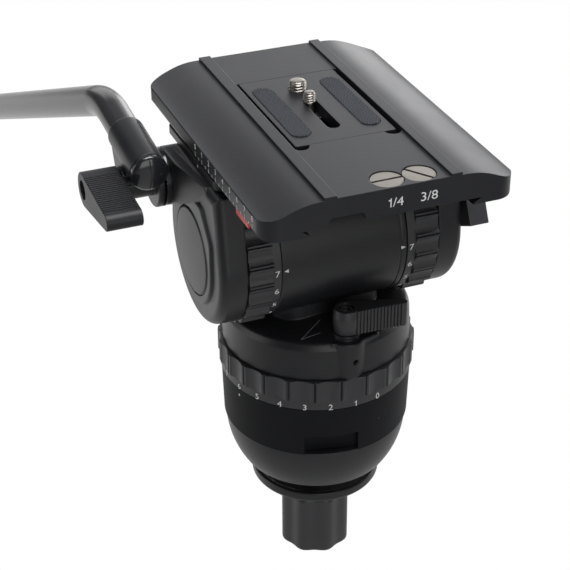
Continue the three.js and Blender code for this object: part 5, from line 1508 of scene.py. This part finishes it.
class HEAD_OT_camera_screws(bpy.types.Operator):
    """Threaded camera screws, their washer, and the two spare screws with coin slots"""
    bl_idname = "head.camera_screws"
    bl_label = "Camera screws"

    def execute(self, context):
        dim = context.scene.head_plates
        kinds = (("quarter_inch", dim.quarter, dim.quarter_pitch, dim.quarter_slot_turn),
                 ("three_eighths", dim.three_eighths, dim.three_eighths_pitch, dim.three_eighths_slot_turn))
        for name, radius, pitch, slot in kinds:
            camera_screw(dim, f"{name}_screw", radius, pitch)
            spare_screw(dim, f"spare_{name}_screw", radius, pitch, slot)
        low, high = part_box("quarter_inch_washer")
        at = anchor_of("quarter_turn")
        washer = block(low, high, FINE_EDGE)
        washer.cut(rod(dim.quarter + GAP, low.z - OVERRUN, high.z + OVERRUN, at=(at.x, at.y, 0)))
        washer.piece("square_washer", "quarter_inch_washer")
        return {"FINISHED"}


# Socket screws

def socket_screw(node, axis, side, shank_share, head_height):
    low, high, at = box_of(node)
    along = "xyz".index(axis)
    across = (along + 1) % 3 if axis != "y" else 0
    head = high[across] - at[across]
    shank = head * shank_share
    outer, inner = (high[along], low[along]) if side > 0 else (low[along], high[along])
    seat = outer - side * head_height
    at[along] = 0
    body = spun([
        (0, outer), (head, outer, head / 8), (head, seat), (shank, seat), (shank, inner, shank / 6),
        (0, inner)],
        SMALL_SIDES, axis, at)
    near, far = sorted((outer + side * OVERRUN, outer - side * head_height / 2))
    body.cut(rod(shank * SOCKET_SHARE, near, far, HEX_SIDES, axis, at))
    body.piece(f"{node}_socket", node)


class HEAD_OT_socket_screws(bpy.types.Operator):
    """Socket head screws: lock levers, platform, base, clamp and axle"""
    bl_idname = "head.socket_screws"
    bl_label = "Socket screws"

    def execute(self, context):
        for nodes, axis, side, shank_share, head_height in SOCKET_SCREWS:
            for node in nodes:
                socket_screw(node, axis, side, shank_share, head_height)
        low, high, at = box_of("boss_set_screw")
        radius, place = high.x - at.x, (at.x, 0, at.z)
        body = spun([(0, low.y), (radius, low.y, SET_SCREW_EDGE), (radius, high.y), (0, high.y)],
                    SMALL_SIDES, "y", place)
        body.cut(rod(radius / 2, low.y - OVERRUN, low.y + OVERRUN, HEX_SIDES, "y", place))
        # The set screw is darkened as painted shade of its hole
        body.piece("set_screw", "boss_set_screw", finish="drum_black")
        return {"FINISHED"}


# Handle

class HandleSizes(bpy.types.PropertyGroup):
    sleeve: mm("Sleeve radius", "Outer radius of the clamp's sleeve", 9.8)
    sleeve_length: mm("Sleeve length", "Length of the sleeve", 39)
    hub: mm("Hub radius", "Radius of the clamp's hub", 9)
    web_front: mm("Web front", "Reach of the web before the hub's axis", 7)
    web_rear: mm("Web rear", "Reach of the web behind it", 19)
    web_foot: mm("Web foot", "Reach of the web's foot to the rear", 11)
    web_edge: mm("Web edge", "Round of the web's edges", 1.5)
    disc: mm("Disc", "Thickness of the toothed disc", 3.8)
    disc_edge: mm("Disc edge", "Round of its rim and of the sleeve's rear end", 1.2)
    hub_edge: mm("Hub edge", "Round of the hub's end", 0.8)
    sleeve_edge: mm("Sleeve edge", "Round of the sleeve's front end", 0.4)
    split: mm("Split", "Width of the sleeve's split", 1.2)
    bar: mm("Bar radius", "Outer radius of the bar", 8.5)
    first: mm("First straight", "Length of the bar before the bend", 59.25)
    bend_radius: mm("Bend radius", "Radius of the bend's middle line", 60)
    bend: turn("Bend", "Angle of the bend", 29.2)
    bar_turn: turn("Bar turn", "Lean of the bar about its sleeve", 10.8)
    second: mm("Second straight", "Length of the bar behind the bend", 438)
    grip: mm("Grip radius", "Radius of the rubber grip", 13.5)
    grip_length: mm("Grip length", "Length of the grip", 112)
    grip_overlap: mm("Grip overlap", "Length of bar that the grip covers", 104)
    grip_lip: mm("Grip lip", "Width of its front face and round", 2)
    grip_end: mm("Grip end", "Round of its rear end", 3)
    grip_ribs: count("Grip ribs", "Rings round the grip", 34)
    grip_groove: mm("Grip groove", "Depth between the grip's rings", 0.9)
    cap_dome: mm("Cap dome", "Height of the front cap's dome", 3.4)
    cap_edge: mm("Cap edge", "Thickness of the cap's rim", 2)
    cap_groove: mm("Cap groove", "Depth of the groove behind it", 0.9)
    cap_seam: mm("Cap seam", "Depth of the moulding seam on the cap", 0.12)


def split_clamp(dim, ears, start, place):
    axis = anchor_of("handle_angle")
    low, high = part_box("handle_clamp")
    radius = high_of("handle_rosette").y - axis.y
    face = high.x

    disc = spun([
        (0, face - dim.disc), (radius, face - dim.disc, dim.disc_edge), (radius, face, FINE_EDGE),
        (dim.hub, face), (0, face)],
        ears.teeth * TOOTH_STEPS, "x", (0, axis.y, axis.z), toothed(ears, radius, face, -1))
    hub = spun([(0, low.x), (dim.hub, low.x, dim.hub_edge), (dim.hub, face - OVERRUN), (0, face - OVERRUN)],
               axis="x", at=(0, axis.y, axis.z))
    sleeve = spun([
        (0, 0), (dim.sleeve, 0, dim.sleeve_edge), (dim.sleeve, dim.sleeve_length, dim.disc_edge),
        (0, dim.sleeve_length)], axis="y")
    drop = start.z - axis.z
    back = axis.y - start.y
    outline = [(back - dim.web_front, 0), (back - dim.web_front, -drop), (back + dim.web_foot, -drop),
               (back + dim.web_rear, 0)]
    edge = dim.web_edge
    web = prism(rounded([(u, v, 2 * edge) for u, v in outline]), -dim.hub, dim.hub, "x", edges=(edge, edge))
    hole = rod(dim.bar + GAP, -OVERRUN, dim.sleeve_length + OVERRUN, SLEEVE_BORE_SIDES, "y")
    split = block((-dim.split / 2, -OVERRUN, -SPLIT_DEPTH * dim.sleeve),
                  (dim.split / 2, dim.sleeve_length / 4, 0))
    screw = middle_of("clamp_screw")
    screw_hole = rod(CLAMP_BORE, low.x - OVERRUN, face + OVERRUN, SMALL_SIDES, "x", (0, screw.y, screw.z))
    for tool in (sleeve, web, hole, split):
        tool.moved(place)
    disc.join(hub, sleeve, web).cut(hole, split, screw_hole)
    disc.piece("clamp_casting", "handle_clamp", finish="cast_black", crease=35)


def wing_knob(dim):
    low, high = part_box("clamp_knob")
    at = anchor_of("knob_turn")
    width = high.x - low.x
    knob = lever_form(dim, "knob", width, dim.knob_edge, dim.knob_ribs)
    knob.cut(rod(CLAMP_BORE, -OVERRUN, width + OVERRUN),
             rod(dim.knob_recess, -OVERRUN, dim.knob_recess_depth))
    along_x(knob, (low.x, at.y, at.z), HALF_TURN).piece("wing_knob", "clamp_knob", finish="knob_black")


def bar_line(dim):
    """Points and directions along the bar's middle line, from its front end."""
    points, tangents = [Vector((0, 0, 0))], [Vector((0, 1, 0))]
    for k in range(BEND_STEPS + 1):
        angle = dim.bend * k / BEND_STEPS
        drop = -dim.bend_radius * (1 - cos(angle))
        points.append(Vector((0, dim.first + dim.bend_radius * sin(angle), drop)))
        tangents.append(Vector((0, cos(angle), -sin(angle))))
    points.append(points[-1] + tangents[-1] * dim.second)
    tangents.append(tangents[-1])
    return points, tangents


def bar_and_grip(dim, place):
    points, tangents = bar_line(dim)
    leaning = place @ Matrix.Rotation(dim.bar_turn, 4, "Y")
    # The bar's lighter tone is a painted sheen
    sweep(points, tangents, dim.bar, 64).moved(leaning).piece("bent_bar", "handle_bar", finish="bar_grey")
    inner, outer, length, ribs = dim.bar + GAP, dim.grip, dim.grip_length, dim.grip_ribs
    first, last = length * GRIP_PLAIN_SHARE, length * (1 - GRIP_PLAIN_SHARE)
    profile = rounded([(inner, 0), (inner + dim.grip_lip, 0, 2 * FINE_EDGE),
                       (outer - MM, dim.grip_end, dim.grip_lip), (outer, first)])
    for k in range(ribs * RIB_STEPS + 1):
        share = k / (ribs * RIB_STEPS)
        sunk = dim.grip_groove * (0.5 - 0.5 * cos(TAU * ribs * share)) ** 2
        profile.append((outer - sunk, first + (last - first) * share))
    profile += rounded([(outer, last), (outer, length, dim.grip_end), (0, length)], 8)
    profile += [(0, dim.grip_overlap), (inner, dim.grip_overlap)]
    grip = lathe(profile, ROUND_SIDES, "y")
    end = points[-1] - tangents[-1] * (dim.grip_overlap - GAP)
    grip.moved(leaning @ Matrix.Translation(end) @ Matrix.Rotation(-dim.bend, 4, "X"))
    grip.piece("rubber_grip", "handle_grip")


def front_cap(dim, place):
    dome, edge = dim.cap_dome, dim.cap_edge
    radius = dim.sleeve

    def seam(angle, r, y):
        on_seam = abs(cos(angle)) < SEAM_SHARE and y < -edge
        return r, y + (dim.cap_seam if on_seam else 0)

    profile = [(radius * sin(angle), -edge - dome * cos(angle))
               for angle in (QUARTER_TURN * k / DOME_STEPS for k in range(DOME_STEPS + 1))]
    groove, plug = radius - dim.cap_groove, radius * PLUG_SHARE
    profile += rounded([(radius, -edge / 2), (groove, -edge / 2), (groove, -GAP), (plug, -GAP),
                        (plug, edge * 2), (0, edge * 2)])
    cap = lathe(profile, ROUND_SIDES, "y", shape=seam).moved(place)
    cap.piece("domed_cap", "handle_front_cap", finish="gloss_black")


class HEAD_OT_handle(bpy.types.Operator):
    """Clamp with its toothed disc and sleeve, wing knob, bent bar, grip and front cap"""
    bl_idname = "head.handle"
    bl_label = "Handle"

    def execute(self, context):
        dim = context.scene.head_handle
        start, along = anchor_of("handle_turn"), axis_of("handle_turn")
        place = Matrix.Translation(start) @ Matrix.Rotation(atan2(along.z, along.y), 4, "X")
        split_clamp(dim, context.scene.head_ears, start, place)
        wing_knob(context.scene.head_levers)
        bar_and_grip(dim, place)
        front_cap(dim, place)
        return {"FINISHED"}


# Level

class HEAD_OT_level(bpy.types.Operator):
    """Bubble level behind the neck: cup and domed vial"""
    bl_idname = "head.level"
    bl_label = "Level"

    def execute(self, context):
        low, high, at = box_of("level_cup")
        vial_low, vial_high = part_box("level_vial")
        radius, inner, place = high.x - at.x, vial_high.x - at.x + GAP, (at.x, at.y, 0)
        spun([
            (0, low.z), (radius, low.z), (radius, high.z, CUP_RIM), (inner, high.z, FINE_EDGE),
            (inner, vial_low.z - GAP), (0, vial_low.z - GAP)], at=place).piece("level_housing", "level_cup")
        dome = [((inner - GAP) * cos(angle), vial_high.z - LEVEL_DOME * (1 - sin(angle)))
                for angle in (QUARTER_TURN * k / LEVEL_STEPS for k in range(LEVEL_STEPS))]
        lathe([(0, vial_low.z), (inner - GAP, vial_low.z), *dome, (0, vial_high.z)], at=place).piece(
            "level_fluid", "level_vial")
        return {"FINISHED"}


# Printing

class PrintSizes(bpy.types.PropertyGroup):
    thickness: mm("Thickness", "Thickness of the ink, half of it sunk", 0.1)
    number: mm("Number height", "Height of the numbers on the rings", 3.4)
    ruler_number: mm("Ruler number height", "Height of the ruler's numbers", 2.9)
    ruler_number_z: mm("Ruler number level", "Height of their middles", 169.6)
    tick: mm("Tick", "Width of the ruler's ticks", 0.4)
    tick_low: mm("Tick foot", "Lower end of a whole centimetre's tick", 164.4)
    tick_high: mm("Tick head", "Its upper end", 166.8)
    half_tick_high: mm("Half tick head", "Upper end of a half centimetre's tick", 165.9)
    label: mm("Label height", "Height of the marks 1/4 and 3/8", 4.6)
    label_z: mm("Label level", "Height of those marks' middles", 171)
    quarter_x: mm("Quarter place", "Middle of the mark 1/4", 1)
    three_eighths_x: mm("Three eighths place", "Middle of the mark 3/8", 18)
    triangle: mm("Triangle", "Length of the index triangles", 2.4)
    dot: mm("Pointer", "Length of the pointer on the drum", 1.7)
    pan_first: turn("Pan number 0", "Place of the pan ring's 0, from the front", 16.2)
    pan_step: turn("Pan number step", "Angle between the pan ring's numbers", 15)
    pan_level: mm("Pan number level", "Height of their middles", 32)
    pointer_turn: turn("Pointer turn", "Where the drum's pointer is", -74.7)
    pointer_level: mm("Pointer level", "Height of the pointer's middle", 26)
    tilt_step: turn("Tilt number step", "Angle between the tilt rings' numbers", 15.4)
    numbers: count("Numbers", "Highest number on the rings", 8)
    ruler: count("Ruler", "Centimetres on the ruler", 8)
    # Two thin raised lines on the dome, coloured light grey as a painted highlight
    scribe: mm("Scribed line", "Width of the scribed mark's lines on the dome", 0.38)
    scribe_apex: spot("Mark", "Where the two scribed lines meet", -24.2, -38.7)
    scribe_rear: spot("Rear line", "Far end of the rear line", -9.8, -29.2)
    scribe_front: spot("Front line", "Far end of the front line", -13.2, -38)
    index: mm("Ruler index", "Length of the ruler's index triangle", 1.8)
    index_rise: mm("Ruler index rise", "Height of its middle above the platform's foot", 2.6)


# The numeral 1, one unit high, its middle, and where the two parts of the mark 1/4 lie in heights of the mark
ONE_OUTLINE = (
    (0, 0), (0.14, 0), (0.14, 1), (0.05, 1), (0, 0.89), (-0.09, 0.83), (-0.2, 0.81), (-0.2, 0.7), (0, 0.7))
ONE_MIDDLE_SHARE = -0.03
LABEL_SHIFT_SHARE = 0.66
LABEL_REST_SHARE = 0.38
LETTER_WIDENING = 1.1

# Triangles: width as a share of the length, place of the housing's two from the rim. Spacing of the ruler's
# ticks
TRIANGLE_SHARE = 0.85
MARK_PLACE = 0.8
MARK_GAP = 0.2 * MM
HALF_CENTIMETRE = 5 * MM


class Marks:
    """Printing gathered into one thin piece: white marks, and the dome's two lines of painted highlight."""

    def __init__(self):
        self.mesh = bmesh.new()

    def word(self, text, height, place):
        """Adds a word, its middle at the place's origin; place(u, v, w) gives a point of the part."""
        curve = bpy.data.curves.new("word", "FONT")
        curve.body = text
        curve.resolution_u = 4
        curve.extrude = 0.5
        obj = bpy.data.objects.new("word", curve)
        bpy.context.scene.collection.objects.link(obj)
        bpy.context.view_layer.update()
        data = bpy.data.meshes.new_from_object(obj.evaluated_get(bpy.context.evaluated_depsgraph_get()))
        bpy.data.objects.remove(obj)
        us = [v.co.x for v in data.vertices]
        vs = [v.co.y for v in data.vertices]
        scale = height / (max(vs) - min(vs))
        u0, v0 = (max(us) + min(us)) / 2, (max(vs) + min(vs)) / 2
        thickness = bpy.context.scene.head_print.thickness
        for vertex in data.vertices:
            u, v, w = vertex.co
            vertex.co = place((u - u0) * scale * LETTER_WIDENING, (v - v0) * scale, w * thickness)
        self.mesh.from_mesh(data)
        bpy.data.meshes.remove(data)

    def number(self, text, height, place):
        """Adds a word; a leading 1 gets a flag, which the built-in letters lack."""
        if text[0] != "1":
            self.word(text, height, place)
            return
        rest = text[1:]
        shift = height * LABEL_SHIFT_SHARE if rest else 0
        middle = ONE_MIDDLE_SHARE
        self.shape([((u - middle) * height - shift, (v - 0.5) * height) for u, v in ONE_OUTLINE], place)
        if rest:
            self.word(rest, height, lambda u, v, w: place(u + shift * LABEL_REST_SHARE, v, w))

    def shape(self, outline, place):
        """Adds a flat mark."""
        half = bpy.context.scene.head_print.thickness / 2
        outline = distinct(outline)
        skin(self.mesh, [[self.mesh.verts.new(place(u, v, w)) for u, v in outline] for w in (-half, half)])

    def strip(self, left, right, place):
        """Adds a thin line between two rows of points."""
        half = bpy.context.scene.head_print.thickness / 2
        skin(self.mesh, [
            [self.mesh.verts.new(place(p.x, p.y, w))
             for p, w in ((a, -half), (b, -half), (b, half), (a, half))]
            for a, b in zip(left, right)])

    def piece(self, name, body, finish="white_print"):
        Form(self.mesh).piece(name, finish=finish, body=body)


def round_z(radius, angle, level):
    """Place on an upright cylinder; the angle runs from the front to the right."""
    def place(u, v, w):
        a = angle + u / radius
        return Vector(((radius + w) * sin(a), -(radius + w) * cos(a), level + v))
    return place


def round_x(radius, angle, x, axis):
    """Place on a cylinder along X; the angle runs from the front upwards."""
    def place(u, v, w):
        a = angle + v / radius
        return Vector((x + u, axis.y - (radius + w) * cos(a), axis.z + (radius + w) * sin(a)))
    return place


def triangle(length, sign):
    """A flat triangle that points along U by sign."""
    half = length / 2
    return [(sign * half, 0), (-sign * half, half * TRIANGLE_SHARE), (-sign * half, -half * TRIANGLE_SHARE)]


def ring_numbers(dim, rings, axis, name, node, side):
    low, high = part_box(node)
    edge = high.x if side < 0 else low.x
    x = edge + side * rings.tilt_band_height / 2
    made = Marks()
    for number in range(dim.numbers):
        angle = -(dim.numbers - 1 - number) * dim.tilt_step
        made.number(str(number), dim.number, round_x(rings.tilt_band, angle, x, axis))
    made.piece(name, BODY_OF[node])


def housing_marks(dim, housing, axis):
    made = Marks()
    for side in (-1, 1):
        x = axis.x + side * (housing.cylinder_half - MARK_PLACE * dim.triangle - MARK_GAP)
        made.shape(triangle(dim.triangle, side), round_x(housing.cylinder, radians(1), x, axis))
    made.piece("housing_marks", "pan")
    top = low_of("pan_housing").z + housing.height + housing.edge_rise

    def on_dome(u, v, w):
        inside = housing.dome_edge - hypot(u, v)
        rise = housing.dome_rise * min(inside / (housing.dome_edge - housing.dome_flat), 1)
        if inside < 0:
            rise = housing.edge_rise * inside / (housing.top - housing.shoulder_drop / 2 - housing.dome_edge)
        return Vector((u, v, top + rise + w))

    # Two thin raised lines on the dome, coloured light grey as a painted highlight along fine edges of the dome
    lines = Marks()
    apex = Vector(dim.scribe_apex)
    for far in (Vector(dim.scribe_rear), Vector(dim.scribe_front)):
        side = (far - apex).normalized().orthogonal() * dim.scribe / 2
        run = [apex.lerp(far, k / DOME_LINE_STEPS) for k in range(DOME_LINE_STEPS + 1)]
        lines.strip([point - side for point in run], [point + side for point in run], on_dome)
    lines.piece("dome_mark", "pan", "scribed")


def plate_marks(dim):
    low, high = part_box("sliding_plate")
    side = Marks()

    def on_side(y, z):
        return lambda u, v, w: Vector((low.x - w, y - u, z + v))

    half = dim.tick / 2
    for mark in range(2 * dim.ruler + 1):
        y = -mark * HALF_CENTIMETRE
        top = dim.half_tick_high if mark % 2 else dim.tick_high
        side.shape([(-half, dim.tick_low), (half, dim.tick_low), (half, top), (-half, top)], on_side(y, 0))
        if mark % 2 == 0:
            side.number(str(mark // 2), dim.ruler_number, on_side(y, dim.ruler_number_z))
    side.piece("plate_ruler", "plate")
    front = Marks()
    for text, x in (("1/4", dim.quarter_x), ("3/8", dim.three_eighths_x)):
        front.number(text, dim.label, lambda u, v, w, x=x: Vector((x + u, low.y - w, dim.label_z + v)))
    front.piece("screw_labels", "plate")
    index = Marks()
    edge, middle = low_of("platform").x, low_of("platform").z + dim.index_rise
    outline = [(v, u) for u, v in triangle(dim.index, 1)]
    index.shape(outline, lambda u, v, w: Vector((edge - w, -u, middle + v)))
    index.piece("ruler_index", "tilt")


class HEAD_OT_printing(bpy.types.Operator):
    """Numbers, ruler, index triangles and the marks 1/4 and 3/8"""
    bl_idname = "head.printing"
    bl_label = "Printing"

    def execute(self, context):
        dim = context.scene.head_print
        rings = context.scene.head_rings
        axis = middle_of("tilt_axle")
        numbers = Marks()
        for number in range(dim.numbers + 1):
            angle = dim.pan_first - number * dim.pan_step
            numbers.number(str(number), dim.number, round_z(rings.pan_band, angle, dim.pan_level))
        numbers.piece("pan_ring_numbers", "pan_drag")
        pointer = Marks()
        top = low_of("pan_drag_ring").z - GAP
        radius = high_of("base_drum").x - context.scene.head_base.taper * (1 - dim.pointer_level / top)
        outline = [(v, u) for u, v in triangle(dim.dot, 1)]
        pointer.shape(outline, round_z(radius, dim.pointer_turn, dim.pointer_level))
        pointer.piece("drum_pointer", "base")
        for name, node, side in (("tilt_ring_numbers", "tilt_drag_ring", -1),
                                 ("spring_ring_numbers", "counterbalance_ring", 1)):
            ring_numbers(dim, rings, axis, name, node, side)
        housing_marks(dim, context.scene.head_housing, axis)
        plate_marks(dim)
        return {"FINISHED"}


# Stage

class StageSizes(bpy.types.PropertyGroup):
    floor_drop: mm("Floor drop", "Room under the head for the handle", 320)
    azimuth: turn("Azimuth", "Where the camera stands round the head", -21.442)
    elevation: turn("Elevation", "Height of the camera above the horizon", 31.0564)
    roll: turn("Roll", "Turn of the camera about its line of sight", -0.2981)
    camera: spot("Camera", "Place of the camera", -277.58, -663.25, 508.26)
    key: power("Key", "Large lamp overhead", 20)
    back: power("Back", "Wide lamp behind", 11)
    right_back: power("Right back", "Low lamp behind on the right", 6)
    left: power("Left", "Lamp at the left", 5.5)
    right: power("Right", "Lamp at the right", 13)
    front: power("Front", "Soft lamp in front", 11)
    ambient: ratio("Ambient", "Brightness of the room", 0.05)
    white_from: mm("White from", "Where the floor begins to shine in reflections", -100)
    white_to: mm("White to", "Where it shines in full", 900)


# Focal length of the camera in pixels of the square picture, the picture's width and its principal point
FOCAL_PIXELS = 1565.1
PICTURE_PIXELS = 570
PRINCIPAL_POINT = (286.345, 285.253)
SENSOR_WIDTH = 36
CLIP = (0.01, 50)

# Floor: half its width in metres, and its matt tones
FLOOR_HALF = 6
FLOOR_TONES = ((0.5,) * 3, (0.54,) * 3)

# Lamps: place, width and height in metres, and the point that they are aimed at
LAMP_AIM = Vector((0, 0, 0.1))
LAMPS = {
    "key": ((0.1, -0.2, 1.4), 0.9, 0.9),
    "back": ((0.5, 2.1, 0.82), 2.2, 1.15),
    "right_back": ((1.25, 1.6, 0.42), 0.9, 0.9),
    "left": ((-1.6, 0.3, 0.35), 1.1, 1.1),
    "right": ((1.6, 0.3, 0.35), 1.1, 1.1),
    "front": ((-0.1, -2.0, 0.5), 1.4, 1.4),
}


def photo_camera(context, dim):
    a, e = dim.azimuth, dim.elevation
    back = Vector((sin(a) * cos(e), -cos(a) * cos(e), sin(e)))
    level = Vector((cos(a), sin(a), 0))
    upright = back.cross(level)
    right = level * cos(dim.roll) + upright * sin(dim.roll)
    up = back.cross(right)
    data = bpy.data.cameras.new("camera")
    data.sensor_width = SENSOR_WIDTH
    data.lens = FOCAL_PIXELS * data.sensor_width / PICTURE_PIXELS
    data.shift_x = 0.5 - PRINCIPAL_POINT[0] / PICTURE_PIXELS
    data.shift_y = PRINCIPAL_POINT[1] / PICTURE_PIXELS - 0.5
    data.clip_start, data.clip_end = CLIP
    camera = bpy.data.objects.new("camera", data)
    matrix = Matrix((right, up, back)).transposed().to_4x4()
    matrix.translation = dim.camera
    camera.matrix_world = matrix
    context.scene.collection.objects.link(camera)
    context.scene.camera = camera


def pale_floor(dim):
    mesh = bmesh.new()
    bmesh.ops.create_grid(mesh, x_segments=8, y_segments=8, size=FLOOR_HALF)
    low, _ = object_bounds()
    form = Form(mesh, at=(0, 0, low.z - dim.floor_drop))
    form.obj.name = "floor"
    form.obj.data.materials.append(floor_white(dim))
    form.obj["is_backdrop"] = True


def floor_white(dim):
    """White to the camera and in reflections, and a plain matt floor to all other light."""
    shader = Shader(bpy.data.materials.new("floor_white"))
    camera = shader.node("ShaderNodeLightPath", {}, {}, "Is Camera Ray")
    glossy = shader.node("ShaderNodeLightPath", {}, {}, "Is Glossy Ray")
    behind = shader.node("ShaderNodeSeparateXYZ", {}, {"Vector": shader.place()}, "Y")
    ranges = {"Value": behind, "From Min": dim.white_from, "From Max": dim.white_to}
    shine = shader.node("ShaderNodeMapRange", {"interpolation_type": "SMOOTHSTEP"}, ranges, "Result")
    seen = shader.maths("MAXIMUM", camera, glossy * shine)
    speckle = shader.noise(3, 2)
    matt = shader.node("ShaderNodeBsdfDiffuse", {}, {"Color": shader.mix(speckle, *FLOOR_TONES)}, "BSDF")
    white = shader.node("ShaderNodeEmission", {}, {"Color": (1, 1, 1, 1), "Strength": 1.0}, "Emission")
    return shader.end(shader.node("ShaderNodeMixShader", {}, {0: seen, 1: matt, 2: white}, "Shader"))


def studio(context, dim):
    """White to the camera, and a dim even light otherwise."""
    context.scene.world = bpy.data.worlds.new("studio")
    shader = Shader(context.scene.world)
    seen = shader.node("ShaderNodeLightPath", {}, {}, "Is Camera Ray")
    room, white = (
        shader.node("ShaderNodeBackground", {}, {"Color": (1, 1, 1, 1), "Strength": strength}, "Background")
        for strength in (dim.ambient, 1))
    shader.end(shader.node("ShaderNodeMixShader", {}, {0: seen, 1: room, 2: white}, "Shader"), "World")


def studio_lamp(context, name, place, width, height, watts):
    data = bpy.data.lights.new(name, "AREA")
    data.shape = "RECTANGLE"
    data.size, data.size_y = width, height
    data.energy = watts
    lamp = bpy.data.objects.new(name, data)
    lamp.location = place
    lamp.rotation_mode = "QUATERNION"
    lamp.rotation_quaternion = (LAMP_AIM - Vector(place)).to_track_quat("-Z", "Y")
    context.scene.collection.objects.link(lamp)


class HEAD_OT_stage(bpy.types.Operator):
    """Pale floor, soft studio lamps, pale surroundings and the camera"""
    bl_idname = "head.stage"
    bl_label = "Stage"

    def execute(self, context):
        dim = context.scene.head_stage
        context.scene.view_settings.view_transform = "Standard"
        photo_camera(context, dim)
        pale_floor(dim)
        studio(context, dim)
        for name, (place, width, height) in LAMPS.items():
            studio_lamp(context, f"{name}_lamp", place, width, height, getattr(dim, name))
        return {"FINISHED"}


class HEAD_OT_inner_finishes(bpy.types.Operator):
    """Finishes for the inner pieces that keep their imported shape"""
    bl_idname = "head.inner_finishes"
    bl_label = "Inner finishes"

    def execute(self, context):
        for name, node in frame["nodes"].items():
            if not node.hide_render:
                node.data.materials.clear()
                node.data.materials.append(finish_of(SLOT_OF[name]))
        return {"FINISHED"}


class HEAD_PT_panel(bpy.types.Panel):
    """Lists the steps that build the head"""
    bl_label = "Video Head"
    bl_idname = "HEAD_PT_panel"
    bl_space_type = "VIEW_3D"
    bl_region_type = "UI"
    bl_category = "Video Head"

    def draw(self, context):
        for operator in OPERATORS:
            self.layout.operator(operator.bl_idname)


GROUPS = {
    "head_finish": FinishSizes,
    "head_base": BaseSizes,
    "head_rings": RingSizes,
    "head_housing": HousingSizes,
    "head_levers": LeverSizes,
    "head_ears": EarSizes,
    "head_platform": PlatformSizes,
    "head_plates": PlateSizes,
    "head_handle": HandleSizes,
    "head_print": PrintSizes,
    "head_stage": StageSizes,
}

OPERATORS = (
    HEAD_OT_base, HEAD_OT_tie_down, HEAD_OT_rings, HEAD_OT_housing,
    HEAD_OT_level, HEAD_OT_levers, HEAD_OT_ears, HEAD_OT_platform,
    HEAD_OT_sliding_plate, HEAD_OT_camera_plate, HEAD_OT_camera_screws, HEAD_OT_socket_screws,
    HEAD_OT_handle, HEAD_OT_printing, HEAD_OT_inner_finishes, HEAD_OT_stage,
)


def register():
    for group in GROUPS.values():
        bpy.utils.register_class(group)
    for name, group in GROUPS.items():
        setattr(bpy.types.Scene, name, bpy.props.PointerProperty(type=group))
    for operator in OPERATORS:
        bpy.utils.register_class(operator)
    bpy.utils.register_class(HEAD_PT_panel)


def unregister():
    bpy.utils.unregister_class(HEAD_PT_panel)
    for operator in reversed(OPERATORS):
        bpy.utils.unregister_class(operator)
    for name in GROUPS:
        delattr(bpy.types.Scene, name)
    for group in reversed(GROUPS.values()):
        bpy.utils.unregister_class(group)


def main():
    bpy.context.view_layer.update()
    register()
    for operator in OPERATORS:
        family, name = operator.bl_idname.split(".")
        getattr(getattr(bpy.ops, family), name)()


if __name__ == "__main__":
    main()
